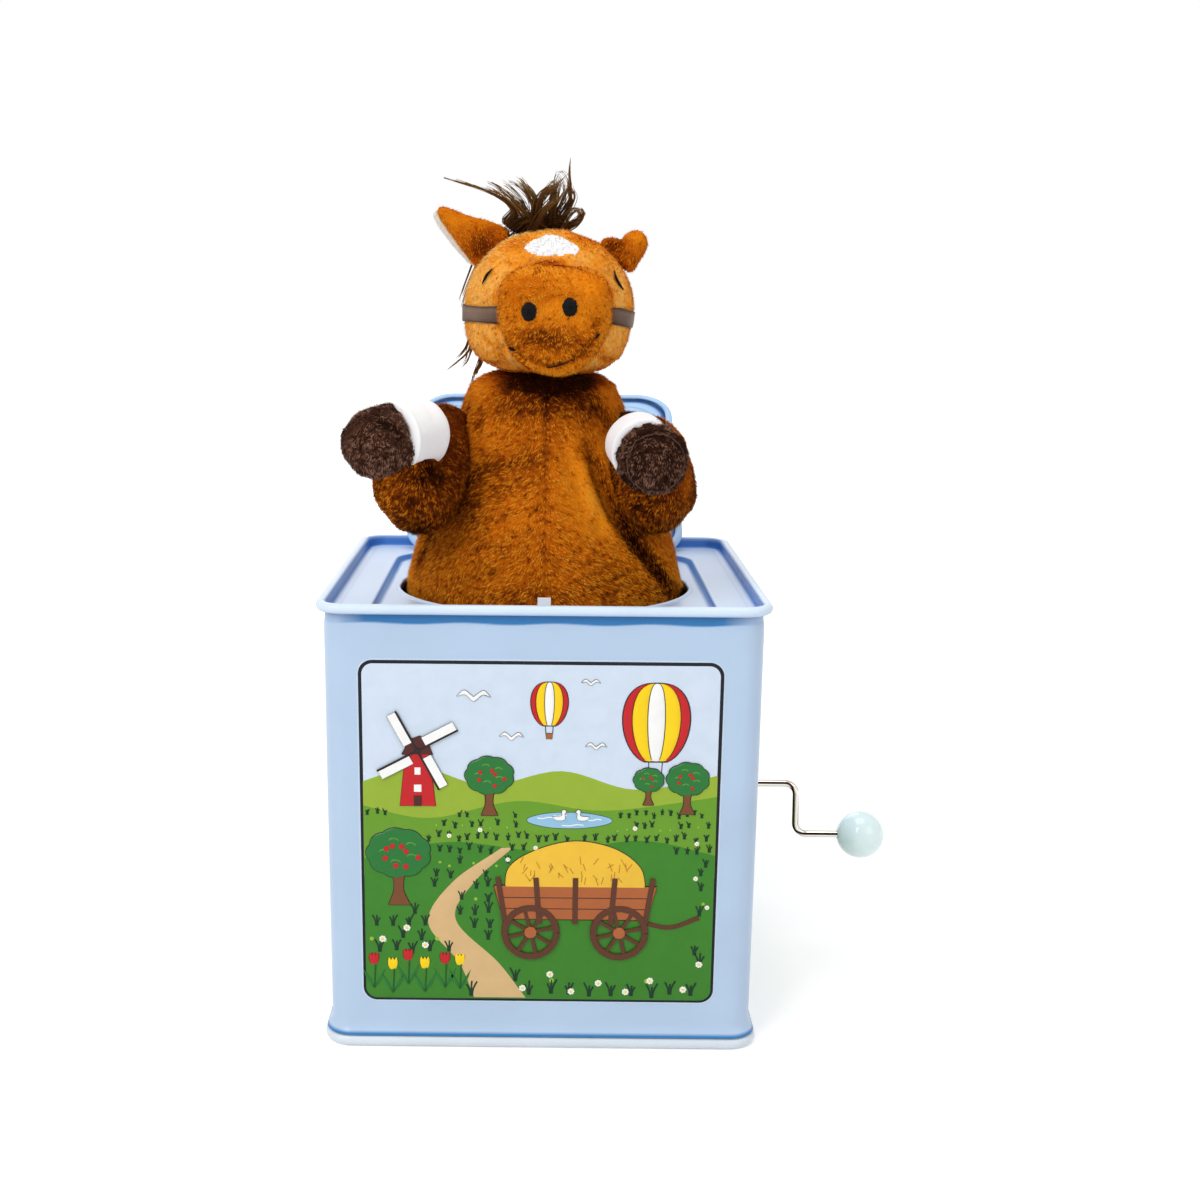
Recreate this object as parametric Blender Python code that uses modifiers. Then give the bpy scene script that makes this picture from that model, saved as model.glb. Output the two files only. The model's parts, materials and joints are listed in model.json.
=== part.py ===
"""Jack-in-the-box: a plush horse on a coil spring, in a square tin with a cranked musical movement.

The frame is in metres with +Z up. The origin is the centre of the tin's flat underside, the
front of the tin faces -Y and the crank comes out of the wall at +X. The puppet stands out of the
tin and the lid leans back, as after the tune has ended.
"""

import math

import bmesh
import bpy
from mathutils import Matrix, Vector

MM = 0.001

# Fits
GAP = 0.3 * MM
RUN_GAP = 0.25 * MM
OVERRUN = 2.0 * MM

# Tin: a drawn square sleeve between a flat base and a stamped top
SHEET = 0.5 * MM
TIN_WIDTH = 140.0 * MM
TIN_HEIGHT = 150.0 * MM
TIN_CORNER = 7.5 * MM
CORNER_STEPS = 6
RIM_OVERHANG = 2.5 * MM
RIM_HEIGHT = 3.2 * MM
RIM_STEPS = 8
LEDGE_DROP = 4.0 * MM
FOOT_FLARE = 2.0 * MM
FOOT_SLOPE = 4.5 * MM
BASE_BEAD_RADIUS = 1.95 * MM
BASE_BEAD_FLARE = 2.4 * MM

# Opening in the top, with the recess that the lid closes into
HOLE_MARGIN = 5.6 * MM
HOLE_FORWARD = 0.6 * MM
HOLE_CURL = 1.0 * MM
HOLE_CURL_RISE = 0.7 * MM
HOLE_FLANGE = 2.2 * MM
LEDGE_WIDTH = 13.5 * MM
LEDGE_FRONT = 6.5 * MM
LEDGE_REAR = 15.9 * MM
RECESS_DEPTH = 2.0 * MM
RECESS_SLOPE = 0.9 * MM
RECESS_CORNER = 15.0 * MM

# Lid, hinged on the wire in its rear bead
LID_SIDE_GAP = 2.0 * MM
LID_FRONT_GAP = 4.2 * MM
LID_CORNER = 15.0 * MM
LID_BEAD_RADIUS = 1.6 * MM
LID_PANEL_STEP = 0.9 * MM
LID_PANEL_MARGIN = 7.0 * MM
LID_PANEL_SLOPE = 1.6 * MM
HINGE_INSET = 3.1 * MM
HINGE_RISE = 2.9 * MM
LID_OPEN_DEGREES = 150.5
HINGE_PIN_RADIUS = 0.8 * MM
HINGE_PIN_INSET = 19.0 * MM
HINGE_LUG_INSET = 26.0 * MM
HINGE_LUG_WIDTH = 5.4 * MM
HINGE_LUG_RADIUS = 1.5 * MM
HINGE_FOOT_LENGTH = 5.5 * MM
HINGE_FOOT_THICKNESS = 0.7 * MM
HINGE_NOTCH_DEPTH = 2.6 * MM

# Crank: a bent wire with a ball knob
CRANK_HEIGHT_SHARE = 0.468667
WIRE_RADIUS = 1.25 * MM
WIRE_OVERHANG = 0.8 * MM
CRANK_REACH = 21.4 * MM
CRANK_SLANT = 3.2 * MM
CRANK_THROW = 19.4 * MM
CRANK_BEND = 3.2 * MM
KNOB_RADIUS = 8.6 * MM
KNOB_REACH = 47.2 * MM
KNOB_BORE_DEPTH = 9.5 * MM
BUSH_RADIUS = 3.3 * MM
BUSH_FLANGE_RADIUS = 5.6 * MM
BUSH_FLANGE = 1.5 * MM
COLLAR_RADIUS = 3.2 * MM
COLLAR_LENGTH = 2.6 * MM

# Musical movement: worm, wheel, pinned drum and comb in a folded frame
MODULE = 1.0 * MM
WHEEL_TEETH = 16
WORM_PITCH_RADIUS = 3.6 * MM
WORM_OUTER_RADIUS = 4.4 * MM
WORM_ROOT_RADIUS = 2.5 * MM
WORM_LENGTH = 11.0 * MM
WORM_SIDES = 16
WHEEL_WIDTH = 4.0 * MM
WHEEL_OUTER_RADIUS = 8.75 * MM
WHEEL_ROOT_RADIUS = 6.8 * MM
TOOTH_ROOT_WIDTH = 1.7 * MM
TOOTH_TIP_WIDTH = 0.75 * MM
WHEEL_HUB_RADIUS = 3.4 * MM
WHEEL_HUB_WIDTH = 1.4 * MM
ARBOR_INSET = 12.2 * MM
ARBOR_RADIUS = 1.5 * MM
ARBOR_OVERHANG = 2.2 * MM
FRAME_SHEET = 1.5 * MM
FRAME_HALF_WIDTH = 31.5 * MM
FRAME_DEPTH = 22.2 * MM
FRAME_BELOW_CRANK = 10.0 * MM
FRAME_ABOVE_CRANK = 35.7 * MM
STRAP_HEIGHT = 8.0 * MM
COMB_BAR_HEIGHT = 6.0 * MM
COMB_BAR_DEPTH = 3.0 * MM
DRUM_RADIUS = 6.0 * MM
DRUM_OFFSET = 5.5 * MM
DRUM_END_GAP = 3.5 * MM
DRUM_RIM = 0.8 * MM
PIN_RADIUS = 0.4 * MM
PIN_HEIGHT = 0.8 * MM
PIN_SINK = 0.5 * MM
COMB_THICKNESS = 0.8 * MM
COMB_LENGTH = 16.0 * MM
COMB_BASE = 6.0 * MM
REED_COUNT = 12
REED_SLIT = 0.5 * MM
SCREW_RADIUS = 1.3 * MM
SCREW_HEAD_RADIUS = 2.6 * MM
SCREW_HEAD_HEIGHT = 1.3 * MM
SCREW_LENGTH = 5.2 * MM
FRAME_SCREW_INSET = 9.5 * MM
FRAME_SCREW_DROP = 5.0 * MM
COMB_SCREW_INSET = 2.5 * MM
CLIP_RADIUS = 3.0 * MM
CLIP_WIDTH = 1.2 * MM

# Trip: a face cam on the arbor swings a rock shaft that carries the lid catch
CAM_RADIUS = 10.5 * MM
CAM_THICKNESS = 1.5 * MM
CAM_GAP = 5.8 * MM
CAM_HUB_RADIUS = 3.2 * MM
CAM_HUB_WIDTH = 1.6 * MM
RAMP_INNER_RADIUS = 6.6 * MM
RAMP_HEIGHT = 2.4 * MM
RAMP_CENTRE_DEGREES = 35.0
RAMP_SPAN_DEGREES = 50.0
SHAFT_INSET = 7.0 * MM
SHAFT_DROP = 24.0 * MM
SHAFT_RADIUS = 1.25 * MM
SHAFT_LEFT_X = -13.0 * MM
HOOK_WIDTH = 4.2 * MM
HOOK_THICKNESS = 1.2 * MM
HOOK_RISE = 0.3 * MM
HOOK_CLEARANCE = 1.0 * MM
HOOK_NOSE = 1.8 * MM
HOOK_NOSE_HEIGHT = 1.1 * MM
HUB_RADIUS = 2.6 * MM
SLOT_CLEARANCE = 0.6 * MM
SLOT_WIDTH = 5.4 * MM
ARM_WIDTH = 4.0 * MM
ARM_THICKNESS = 1.4 * MM
ARM_TAIL_RISE = 5.0 * MM
ARM_TAIL_HEIGHT = 11.5 * MM
HANGER_LEFT_X = -9.0 * MM
HANGER_INSET = 15.0 * MM
HANGER_THICKNESS = 1.2 * MM
HANGER_DEPTH = 5.4 * MM
HANGER_BELOW_SHAFT = 3.0 * MM
HANGER_FOOT = 6.0 * MM
HANGER_FOOT_THICKNESS = 0.9 * MM
CATCH_SPRING_X = 5.0 * MM
CATCH_SPRING_RADIUS = 2.3 * MM
CATCH_SPRING_WIRE = 0.3 * MM
CATCH_SPRING_LENGTH = 6.0 * MM
CATCH_SPRING_TURNS = 5

# Puppet spring and what holds it
HEM_SLACK = 0.82 * MM
SEAT_THICKNESS = 1.5 * MM
SEAT_COLLAR_INSET = 2.5 * MM
SEAT_COLLAR_HEIGHT = 4.0 * MM
SEAT_COLLAR_WALL = 1.0 * MM
RIVET_COUNT = 3
RIVET_INSET = 5.08 * MM
RIVET_RADIUS = 1.2 * MM
RIVET_HEAD_RADIUS = 2.6 * MM
RIVET_HEAD_HEIGHT = 1.3 * MM
HEM_RING_HEIGHT = 4.0 * MM
HEM_RING_WALL = 2.4 * MM
SPRING_BOTTOM_SHARE = 0.387755
SPRING_TOP_RADIUS = 14.5 * MM
SPRING_WIRE = 0.85 * MM
SPRING_TURNS = 14
SPRING_HEADROOM = 15.0 * MM
DISC_RADIUS = 17.5 * MM
DISC_THICKNESS = 2.4 * MM

# Plush horse
SKIRT_CLEARANCE = 1.4 * MM
SKIRT_WALL = 2.2 * MM
SKIRT_FOOT_SHARE = 0.72
PUPPET_RISE = 67.0 * MM
BODY_SIDES = 28
HEAD_HEIGHT = 51.2 * MM
HEAD_SQUARENESS = 2.35
HEAD_COLUMNS = 24
HEAD_ROWS = 18
MUZZLE_SQUARENESS = 2.5
MUZZLE_COLUMNS = 20
MUZZLE_ROWS = 14
EAR_WIDTH = 8.2 * MM
EAR_THICKNESS = 4.2 * MM
LOCK_RADIUS = 4.0 * MM
MANE_RADIUS = 5.2 * MM
HALTER_WIDTH = 7.0 * MM
HALTER_THICKNESS = 0.8 * MM
TUFT_SQUARENESS = 2.0
TUFT_COLUMNS = 14
EAR_ROWS = 12
FORELOCK_ROWS = 10
LIMB_COLUMNS = 16
LIMB_ROWS = 12

# The head's centre stands over the neck, and the rest of the head lies about that centre,
# all as shares of the head's height
HEAD_CENTRE_SHARES = (0.01172, -0.19531, 0.44531)
HEAD_SIZE_SHARES = (0.55273, 0.51758, 0.50000)
MUZZLE_CENTRE_SHARES = (0.02734, -0.46875, -0.06641)
MUZZLE_SIZE_SHARES = (0.35938, 0.36133, 0.34570)
LEFT_EAR_BASE_SHARES = (-0.29492, 0.01953, 0.30664)
LEFT_EAR_TIP_SHARES = (-0.73438, -0.00977, 0.63281)
RIGHT_EAR_BASE_SHARES = (0.30078, 0.01953, 0.29688)
RIGHT_EAR_TIP_SHARES = (0.66211, -0.03906, 0.50195)
FORELOCK_CENTRE_SHARES = (-0.04102, 0.01953, 0.45313)
FORELOCK_SIZE_SHARES = (0.24414, 0.15625, 0.11719)
FORELOCK_TOP_SHARE = 0.90234
HALTER_SHARE = 0.01563

# Each limb's form and the two ends of its arm, sock and hoof, as shares of the puppet's rise above the tin
ARM_SIZE_SHARES = (0.21791, 0.21791, 0.35821)
SOCK_SIZE_SHARES = (0.16716, 0.16716, 0.12836)
HOOF_SIZE_SHARES = (0.17164, 0.17164, 0.16418)
LIMB_SQUARENESS = (2.2, 3.2, 2.4)
LEFT_LIMB_SHARES = (
    ((-0.29851, -0.17910, 0.61194), (-0.70149, -0.52239, 0.45522)),
    ((-0.51493, -0.64179, 0.74925), (-0.73134, -0.77612, 0.72836)),
    ((-0.68657, -0.74627, 0.73134), (-0.92537, -0.93284, 0.71045)),
)
RIGHT_LIMB_SHARES = (
    ((0.28358, -0.17910, 0.61194), (0.62687, -0.52239, 0.43284)),
    ((0.47761, -0.59701, 0.71642), (0.49254, -0.79104, 0.67910)),
    ((0.49254, -0.73134, 0.67910), (0.51343, -1.01493, 0.62090)),
)

# Places along each soft outline, as shares of its own size
BODY_PROFILE_SHARES = (
    (0.00, 1.000), (0.25, 0.996), (0.41, 0.982), (0.51, 0.958), (0.59, 0.920),
    (0.69, 0.872), (0.81, 0.804), (0.91, 0.736), (0.985, 0.676), (1.00, 0.640),
    (0.985, 0.600), (0.92, 0.500), (0.84, 0.360), (0.76, 0.175), (SKIRT_FOOT_SHARE, 0.000),
)
FORELOCK_LOCK_SHARES = (
    (-0.55, -0.10, -1.60, 0.70), (-0.25, 0.20, -0.75, 0.88), (0.05, -0.10, 0.15, 0.94),
    (0.35, 0.15, 0.75, 1.00), (0.60, -0.05, 1.10, 0.66),
)
MANE_PATH_SHARES = (
    (-0.10, 0.50, 0.92), (-0.28, 0.84, 0.66), (-0.50, 1.00, 0.34), (-0.74, 0.98, 0.00),
    (-0.94, 0.82, -0.36), (-1.02, 0.62, -0.66),
)
MANE_RADIUS_SHARES = (0.55, 0.90, 1.00, 1.00, 0.80, 0.35)

# Places worked out from the sizes above
HALF = TIN_WIDTH / 2
WALL_INNER = HALF - SHEET
LEDGE_Z = TIN_HEIGHT - LEDGE_DROP
FLOOR_Z = LEDGE_Z - RECESS_DEPTH
RECESS_HALF_X = WALL_INNER - LEDGE_WIDTH
RECESS_FRONT_Y = LEDGE_FRONT - WALL_INNER
RECESS_REAR_Y = WALL_INNER - LEDGE_REAR
HOLE_RADIUS = RECESS_HALF_X - HOLE_MARGIN
HOLE_Y = (RECESS_FRONT_Y + RECESS_REAR_Y) / 2 - HOLE_FORWARD
HINGE_Y = RECESS_REAR_Y - HINGE_INSET
HINGE_Z = FLOOR_Z + HINGE_RISE
LID_HALF_WIDTH = RECESS_HALF_X - LID_SIDE_GAP
LID_FRONT_Y = RECESS_FRONT_Y + LID_FRONT_GAP
LID_LENGTH = HINGE_Y - LID_FRONT_Y
LID_OPEN = math.radians(LID_OPEN_DEGREES)
HINGE_PIN_LENGTH = 2 * (LID_HALF_WIDTH - HINGE_PIN_INSET)
HINGE_LUG_X = LID_HALF_WIDTH - HINGE_LUG_INSET
CRANK_Z = TIN_HEIGHT * CRANK_HEIGHT_SHARE
CRANK_ARM_X = HALF + CRANK_REACH
KNOB_X = HALF + KNOB_REACH
WORM_LEAD = math.pi * MODULE
WHEEL_PITCH_RADIUS = WHEEL_TEETH * MODULE / 2
ARBOR_Z = CRANK_Z + WORM_PITCH_RADIUS + WHEEL_PITCH_RADIUS
FRAME_BACK_X = WALL_INNER - GAP
FRAME_FRONT_X = FRAME_BACK_X - FRAME_DEPTH
FRAME_BOTTOM_Z = CRANK_Z - FRAME_BELOW_CRANK
FRAME_TOP_Z = CRANK_Z + FRAME_ABOVE_CRANK
FRAME_SCREW_Y = FRAME_HALF_WIDTH - FRAME_SCREW_INSET
WIRE_INNER_X = FRAME_FRONT_X - WIRE_OVERHANG
ARBOR_X = FRAME_BACK_X - ARBOR_INSET
SIDE_INNER_Y = FRAME_HALF_WIDTH - FRAME_SHEET
DRUM_LENGTH = SIDE_INNER_Y - DRUM_OFFSET - DRUM_END_GAP
COMB_SCREW_Y = DRUM_LENGTH / 2 - COMB_SCREW_INSET
CAM_REAR_Y = -FRAME_HALF_WIDTH - CAM_GAP
ARM_TAIL_Y = CAM_REAR_Y + RAMP_HEIGHT + GAP
SHAFT_Y = SHAFT_INSET - WALL_INNER
SHAFT_Z = FLOOR_Z - SHAFT_DROP
HOOK_TOP_Z = TIN_HEIGHT + HOOK_RISE
HOOK_REAR_Y = LID_FRONT_Y - HOOK_CLEARANCE
SLOT_FRONT_Y = HOOK_REAR_Y - HOOK_THICKNESS - SLOT_CLEARANCE
SLOT_REAR_Y = HOOK_REAR_Y + HOOK_NOSE + GAP
HANGER_RIGHT_X = ARBOR_X - HANGER_INSET
BORE_RADIUS = WIRE_RADIUS + RUN_GAP
ARBOR_BORE = ARBOR_RADIUS + RUN_GAP
SKIRT_RADIUS = HOLE_RADIUS - SKIRT_CLEARANCE
SKIRT_FOOT_RADIUS = SKIRT_RADIUS * SKIRT_FOOT_SHARE
BODY_TOP_Z = TIN_HEIGHT + PUPPET_RISE
SEAT_RADIUS = SKIRT_FOOT_RADIUS + HEM_SLACK + HEM_RING_WALL
SEAT_Z = SHEET + GAP
SEAT_TOP_Z = SEAT_Z + SEAT_THICKNESS
SPRING_BOTTOM_RADIUS = SKIRT_RADIUS * SPRING_BOTTOM_SHARE
SPRING_TOP_Z = BODY_TOP_Z - SPRING_HEADROOM
SEAT_COLLAR_RADIUS = SPRING_BOTTOM_RADIUS - SEAT_COLLAR_INSET
RIVET_CIRCLE = SKIRT_FOOT_RADIUS - SKIRT_WALL - RIVET_INSET
HEM_Z = SEAT_TOP_Z + GAP
DISC_Z = SPRING_TOP_Z + SPRING_WIRE + GAP
HEAD_CENTRE = Vector((0, 0, BODY_TOP_Z)) + Vector(HEAD_CENTRE_SHARES) * HEAD_HEIGHT
HEAD_SIZE = Vector(HEAD_SIZE_SHARES) * HEAD_HEIGHT
MUZZLE_CENTRE = HEAD_CENTRE + Vector(MUZZLE_CENTRE_SHARES) * HEAD_HEIGHT
MUZZLE_SIZE = Vector(MUZZLE_SIZE_SHARES) * HEAD_HEIGHT
FORELOCK_CENTRE = HEAD_CENTRE + Vector(FORELOCK_CENTRE_SHARES) * HEAD_HEIGHT
FORELOCK_SIZE = Vector(FORELOCK_SIZE_SHARES) * HEAD_HEIGHT
FORELOCK_TOP_Z = HEAD_CENTRE.z + FORELOCK_TOP_SHARE * HEAD_HEIGHT
HALTER_Z = HEAD_CENTRE.z + HALTER_SHARE * HEAD_HEIGHT
SMOOTH_ANGLE = math.radians(35)

AXIS_X = Matrix.Rotation(math.radians(90), 4, "Y")
AXIS_Y = Matrix.Rotation(math.radians(-90), 4, "X")
UPRIGHT = Matrix.Identity(4)


def clear_scene():
    for item in list(bpy.data.objects):
        bpy.data.objects.remove(item)


def collection(name):
    made = bpy.data.collections.new(name)
    bpy.context.scene.collection.children.link(made)
    return made


def material(name, colour, roughness, metallic=0.0):
    made = bpy.data.materials.new(name)
    made.use_nodes = True
    shader = made.node_tree.nodes["Principled BSDF"]
    shader.inputs["Base Color"].default_value = (*colour, 1.0)
    shader.inputs["Roughness"].default_value = roughness
    shader.inputs["Metallic"].default_value = metallic
    return made


def add_object(name, mesh, where=UPRIGHT):
    """A new part that holds this mesh, at the place that the matrix gives."""
    made = bpy.data.objects.new(name, mesh)
    PARTS.objects.link(made)
    made.matrix_world = where
    return made


def mesh_from(name, shape):
    """A mesh from a bmesh, with its faces turned outwards."""
    bmesh.ops.recalc_face_normals(shape, faces=shape.faces)
    if shape.calc_volume(signed=True) < 0:
        bmesh.ops.reverse_faces(shape, faces=shape.faces)
    made = bpy.data.meshes.new(name)
    shape.to_mesh(made)
    shape.free()
    return made


def baked(item):
    """Applies an object's modifiers and place, so that its mesh is in world space."""
    bpy.context.view_layer.update()
    seen = item.evaluated_get(bpy.context.evaluated_depsgraph_get())
    mesh = bpy.data.meshes.new_from_object(seen)
    mesh.transform(item.matrix_world)
    shape = bmesh.new()
    shape.from_mesh(mesh)
    bmesh.ops.remove_doubles(shape, verts=shape.verts, dist=MM / 1000)
    shape.to_mesh(mesh)
    shape.free()
    name = item.name
    bpy.data.objects.remove(item)
    return add_object(name, mesh)


def box(name, low, high):
    """A box between two corners."""
    low, high = Vector(low), Vector(high)
    shape = bmesh.new()
    bmesh.ops.create_cube(shape, size=1.0)
    size = high - low
    bmesh.ops.scale(shape, vec=size, verts=shape.verts)
    bmesh.ops.translate(shape, vec=(low + high) / 2, verts=shape.verts)
    return add_object(name, mesh_from(name, shape))


def rod(name, radius, start, end, sides=20):
    """A round bar between two points."""
    start, end = Vector(start), Vector(end)
    shape = bmesh.new()
    bmesh.ops.create_cone(
        shape, cap_ends=True, segments=sides, radius1=radius, radius2=radius, depth=(end - start).length
    )
    turn = (end - start).to_track_quat("Z", "Y").to_matrix().to_4x4()
    shape.transform(Matrix.Translation((start + end) / 2) @ turn)
    return add_object(name, mesh_from(name, shape))


def turned(name, profile, where=UPRIGHT, sides=32):
    """A solid of revolution: the profile is (radius, height) pairs from top to bottom."""
    shape = bmesh.new()
    corners = [shape.verts.new((radius, 0, height)) for radius, height in profile]
    for first, second in zip(corners, corners[1:]):
        shape.edges.new((first, second))
    made = bpy.data.meshes.new(name)
    shape.to_mesh(made)
    shape.free()
    item = add_object(name, made, where)
    screw = item.modifiers.new("Turn", "SCREW")
    screw.steps = sides
    screw.render_steps = sides
    screw.use_merge_vertices = True
    screw.merge_threshold = 0.00001
    return item


def tube_ring_profile(inner, outer, low, high):
    """The closed profile of a plain ring, for turned()."""
    return [(inner, high), (outer, high), (outer, low), (inner, low), (inner, high)]


def wire(name, points, radius, resolution=2, closed=False, radius_shares=None):
    """A round wire along the points, made a mesh with welded ends."""
    line = bpy.data.curves.new(name, "CURVE")
    line.dimensions = "3D"
    line.bevel_depth = radius
    line.bevel_resolution = resolution
    line.use_fill_caps = not closed
    spline = line.splines.new("POLY")
    spline.points.add(len(points) - 1)
    for index, place in enumerate(points):
        spline.points[index].co = (*place, 1.0)
        if radius_shares:
            spline.points[index].radius = radius_shares[index]
    spline.use_cyclic_u = closed
    return baked(add_object(name, line))


def flat_piece(name, outline, thickness, where=UPRIGHT):
    """A flat piece from an outline in its own XY plane, half its thickness each way."""
    line = bpy.data.curves.new(name, "CURVE")
    line.dimensions = "2D"
    line.fill_mode = "BOTH"
    line.extrude = thickness / 2
    spline = line.splines.new("POLY")
    spline.points.add(len(outline) - 1)
    for index, place in enumerate(outline):
        spline.points[index].co = (place[0], place[1], 0, 1.0)
    spline.use_cyclic_u = True
    return baked(add_object(name, line, where))


def rounded_rectangle(half_x, half_y, corner, steps=CORNER_STEPS):
    """Points of a rounded rectangle, or of a circle where the corner fills it."""
    points = []
    for quarter, (side_x, side_y) in enumerate(((1, 1), (-1, 1), (-1, -1), (1, -1))):
        for step in range(steps):
            angle = math.pi / 2 * (quarter + (step + 1 / 2) / steps)
            points.append(
                (
                    side_x * (half_x - corner) + corner * math.cos(angle),
                    side_y * (half_y - corner) + corner * math.sin(angle),
                )
            )
    return points


def ring_shell(name, levels, thickness):
    """A sheet through rounded rings, each (half x, half y, corner, centre y, height), outside first."""
    shape = bmesh.new()
    rings = []
    for half_x, half_y, corner, centre_y, height in levels:
        outline = rounded_rectangle(half_x, half_y, corner)
        rings.append([shape.verts.new((x, y + centre_y, height)) for x, y in outline])
    for lower, upper in zip(rings, rings[1:]):
        for index in range(len(lower)):
            after = (index + 1) % len(lower)
            shape.faces.new((lower[index], lower[after], upper[after], upper[index]))
    made = bpy.data.meshes.new(name)
    shape.to_mesh(made)
    shape.free()
    item = add_object(name, made)
    shell = item.modifiers.new("Sheet", "SOLIDIFY")
    shell.thickness = thickness
    shell.offset = -1
    shell.use_even_offset = True
    return item


def soft_form(name, centre, size, squareness=2.3, columns=20, rows=14, shaping=None, turn=UPRIGHT):
    """A stuffed form: a ball pressed towards a box by its squareness, shaped and turned."""
    shape = bmesh.new()
    bmesh.ops.create_uvsphere(shape, u_segments=columns, v_segments=rows, radius=1.0)
    for corner in shape.verts:
        place = corner.co
        power = sum(abs(part) ** squareness for part in place) ** (1 / squareness)
        place = place / power
        if shaping:
            place = shaping(place)
        corner.co = Vector((place.x * size.x, place.y * size.y, place.z * size.z))
    shape.transform(Matrix.Translation(centre) @ turn)
    return add_object(name, mesh_from(name, shape))


def along(start, end):
    """The turn that takes +Z from the start towards the end."""
    return (end - start).to_track_quat("Z", "Y").to_matrix().to_4x4()


def boolean(item, tool, operation):
    step = item.modifiers.new(operation.title(), "BOOLEAN")
    step.operation = operation
    step.object = tool
    step.solver = "EXACT"


def cut(item, *tools):
    """Takes the tools away from the item; they stay as hidden wire cutters."""
    for tool in tools:
        boolean(item, tool, "DIFFERENCE")
        PARTS.objects.unlink(tool)
        CUTTERS.objects.link(tool)
        tool.hide_render = True
        tool.display_type = "WIRE"
    return item


def join(item, *others):
    """Fuses the others into the item, which becomes one solid."""
    for other in others:
        boolean(item, other, "UNION")
    item = baked(item)
    for other in others:
        bpy.data.objects.remove(other)
    return item


def swollen(item, gap):
    """A copy of a part, grown by the gap along its normals, to cut a neighbour with."""
    bpy.context.view_layer.update()
    seen = item.evaluated_get(bpy.context.evaluated_depsgraph_get())
    mesh = bpy.data.meshes.new_from_object(seen)
    mesh.transform(item.matrix_world)
    shape = bmesh.new()
    shape.from_mesh(mesh)
    shape.normal_update()
    for corner in shape.verts:
        corner.co = corner.co + corner.normal * gap
    shape.to_mesh(mesh)
    shape.free()
    return add_object(item.name + "_cutter", mesh)


def finish(item, skin, smooth=True):
    """Gives a part its material and its shading."""
    item.data.materials.clear()
    item.data.materials.append(skin)
    if smooth and item.type == "MESH":
        item.data.shade_smooth()
        item.data.set_sharp_from_angle(angle=SMOOTH_ANGLE)
    return item


def move_origin(item, place):
    """Puts a moving part's origin on its joint, with the part where it was."""
    place = Vector(place)
    item.data.transform(Matrix.Translation(-place))
    item.matrix_world = Matrix.Translation(place)
    return item


def helix(radius_at, height_at, turns, steps_per_turn):
    """Points along a coil about Z, where radius and height follow the share of its length."""
    steps = turns * steps_per_turn
    points = []
    for step in range(steps + 1):
        share = step / steps
        angle = 2 * math.pi * step / steps_per_turn
        radius = radius_at(share)
        points.append(Vector((radius * math.cos(angle), radius * math.sin(angle), height_at(share))))
    return points


def least_gap(points, wire_radius, steps_per_turn):
    """The least clear distance between turns of a coil, from points at least half a turn apart."""
    least = None
    for first, place in enumerate(points):
        for other in points[first + steps_per_turn // 2:]:
            clear = (place - other).length - 2 * wire_radius
            least = clear if least is None else min(least, clear)
    return least


def make_tin_body(skin):
    corner = TIN_CORNER
    foot = BASE_BEAD_RADIUS * 2 + GAP
    levels = [
        (HALF + FOOT_FLARE, HALF + FOOT_FLARE, corner + FOOT_FLARE, 0, foot),
        (HALF + FOOT_FLARE / 2, HALF + FOOT_FLARE / 2, corner + FOOT_FLARE / 2, 0, foot + FOOT_SLOPE / 4),
        (HALF, HALF, corner, 0, foot + FOOT_SLOPE),
        (HALF, HALF, corner, 0, TIN_HEIGHT - RIM_HEIGHT),
    ]
    item = ring_shell("tin_body", levels, SHEET)
    bush_hole = rod("bush_hole", BUSH_RADIUS + RUN_GAP, (HALF - OVERRUN, 0, CRANK_Z), (HALF + OVERRUN, 0, CRANK_Z))
    cut(item, bush_hole, *frame_screw_holes())
    return finish(item, skin)


def make_top_plate(skin):
    rim_outer = HALF + RIM_OVERHANG
    rim_inner = WALL_INNER - GAP - SHEET
    rim_centre = (rim_outer + rim_inner) / 2
    rim_half_width = (rim_outer - rim_inner) / 2
    rim_rise = RIM_HEIGHT / 2
    rim_corner = TIN_CORNER - HALF
    levels = []
    for step in range(RIM_STEPS + 1):
        angle = math.radians(-60) + math.radians(240) * step / RIM_STEPS
        half = rim_centre + rim_half_width * math.cos(angle)
        height = TIN_HEIGHT - rim_rise + rim_rise * math.sin(angle)
        levels.append((half, half, half + rim_corner, 0, height))
    levels.append((rim_inner, rim_inner, rim_inner + rim_corner, 0, LEDGE_Z))
    recess_half_y = (RECESS_REAR_Y - RECESS_FRONT_Y) / 2
    recess_y = (RECESS_REAR_Y + RECESS_FRONT_Y) / 2
    levels.append((RECESS_HALF_X, recess_half_y, RECESS_CORNER, recess_y, LEDGE_Z))
    inner_x = RECESS_HALF_X - RECESS_SLOPE
    inner_y = recess_half_y - RECESS_SLOPE
    levels.append((inner_x, inner_y, RECESS_CORNER - RECESS_SLOPE, recess_y, FLOOR_Z))
    curl_outer = HOLE_RADIUS + HOLE_CURL
    curl_middle = HOLE_RADIUS + HOLE_CURL / 2
    levels.append((curl_outer, curl_outer, curl_outer, HOLE_Y, FLOOR_Z))
    levels.append((curl_middle, curl_middle, curl_middle, HOLE_Y, FLOOR_Z + HOLE_CURL_RISE))
    levels.append((HOLE_RADIUS, HOLE_RADIUS, HOLE_RADIUS, HOLE_Y, FLOOR_Z))
    levels.append((HOLE_RADIUS, HOLE_RADIUS, HOLE_RADIUS, HOLE_Y, FLOOR_Z - HOLE_FLANGE))
    item = ring_shell("top_plate", levels, SHEET)
    slot = box(
        "hook_slot",
        (-SLOT_WIDTH / 2, SLOT_FRONT_Y, FLOOR_Z - OVERRUN),
        (SLOT_WIDTH / 2, SLOT_REAR_Y, FLOOR_Z + OVERRUN),
    )
    cut(item, slot)
    return finish(item, skin)


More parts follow.
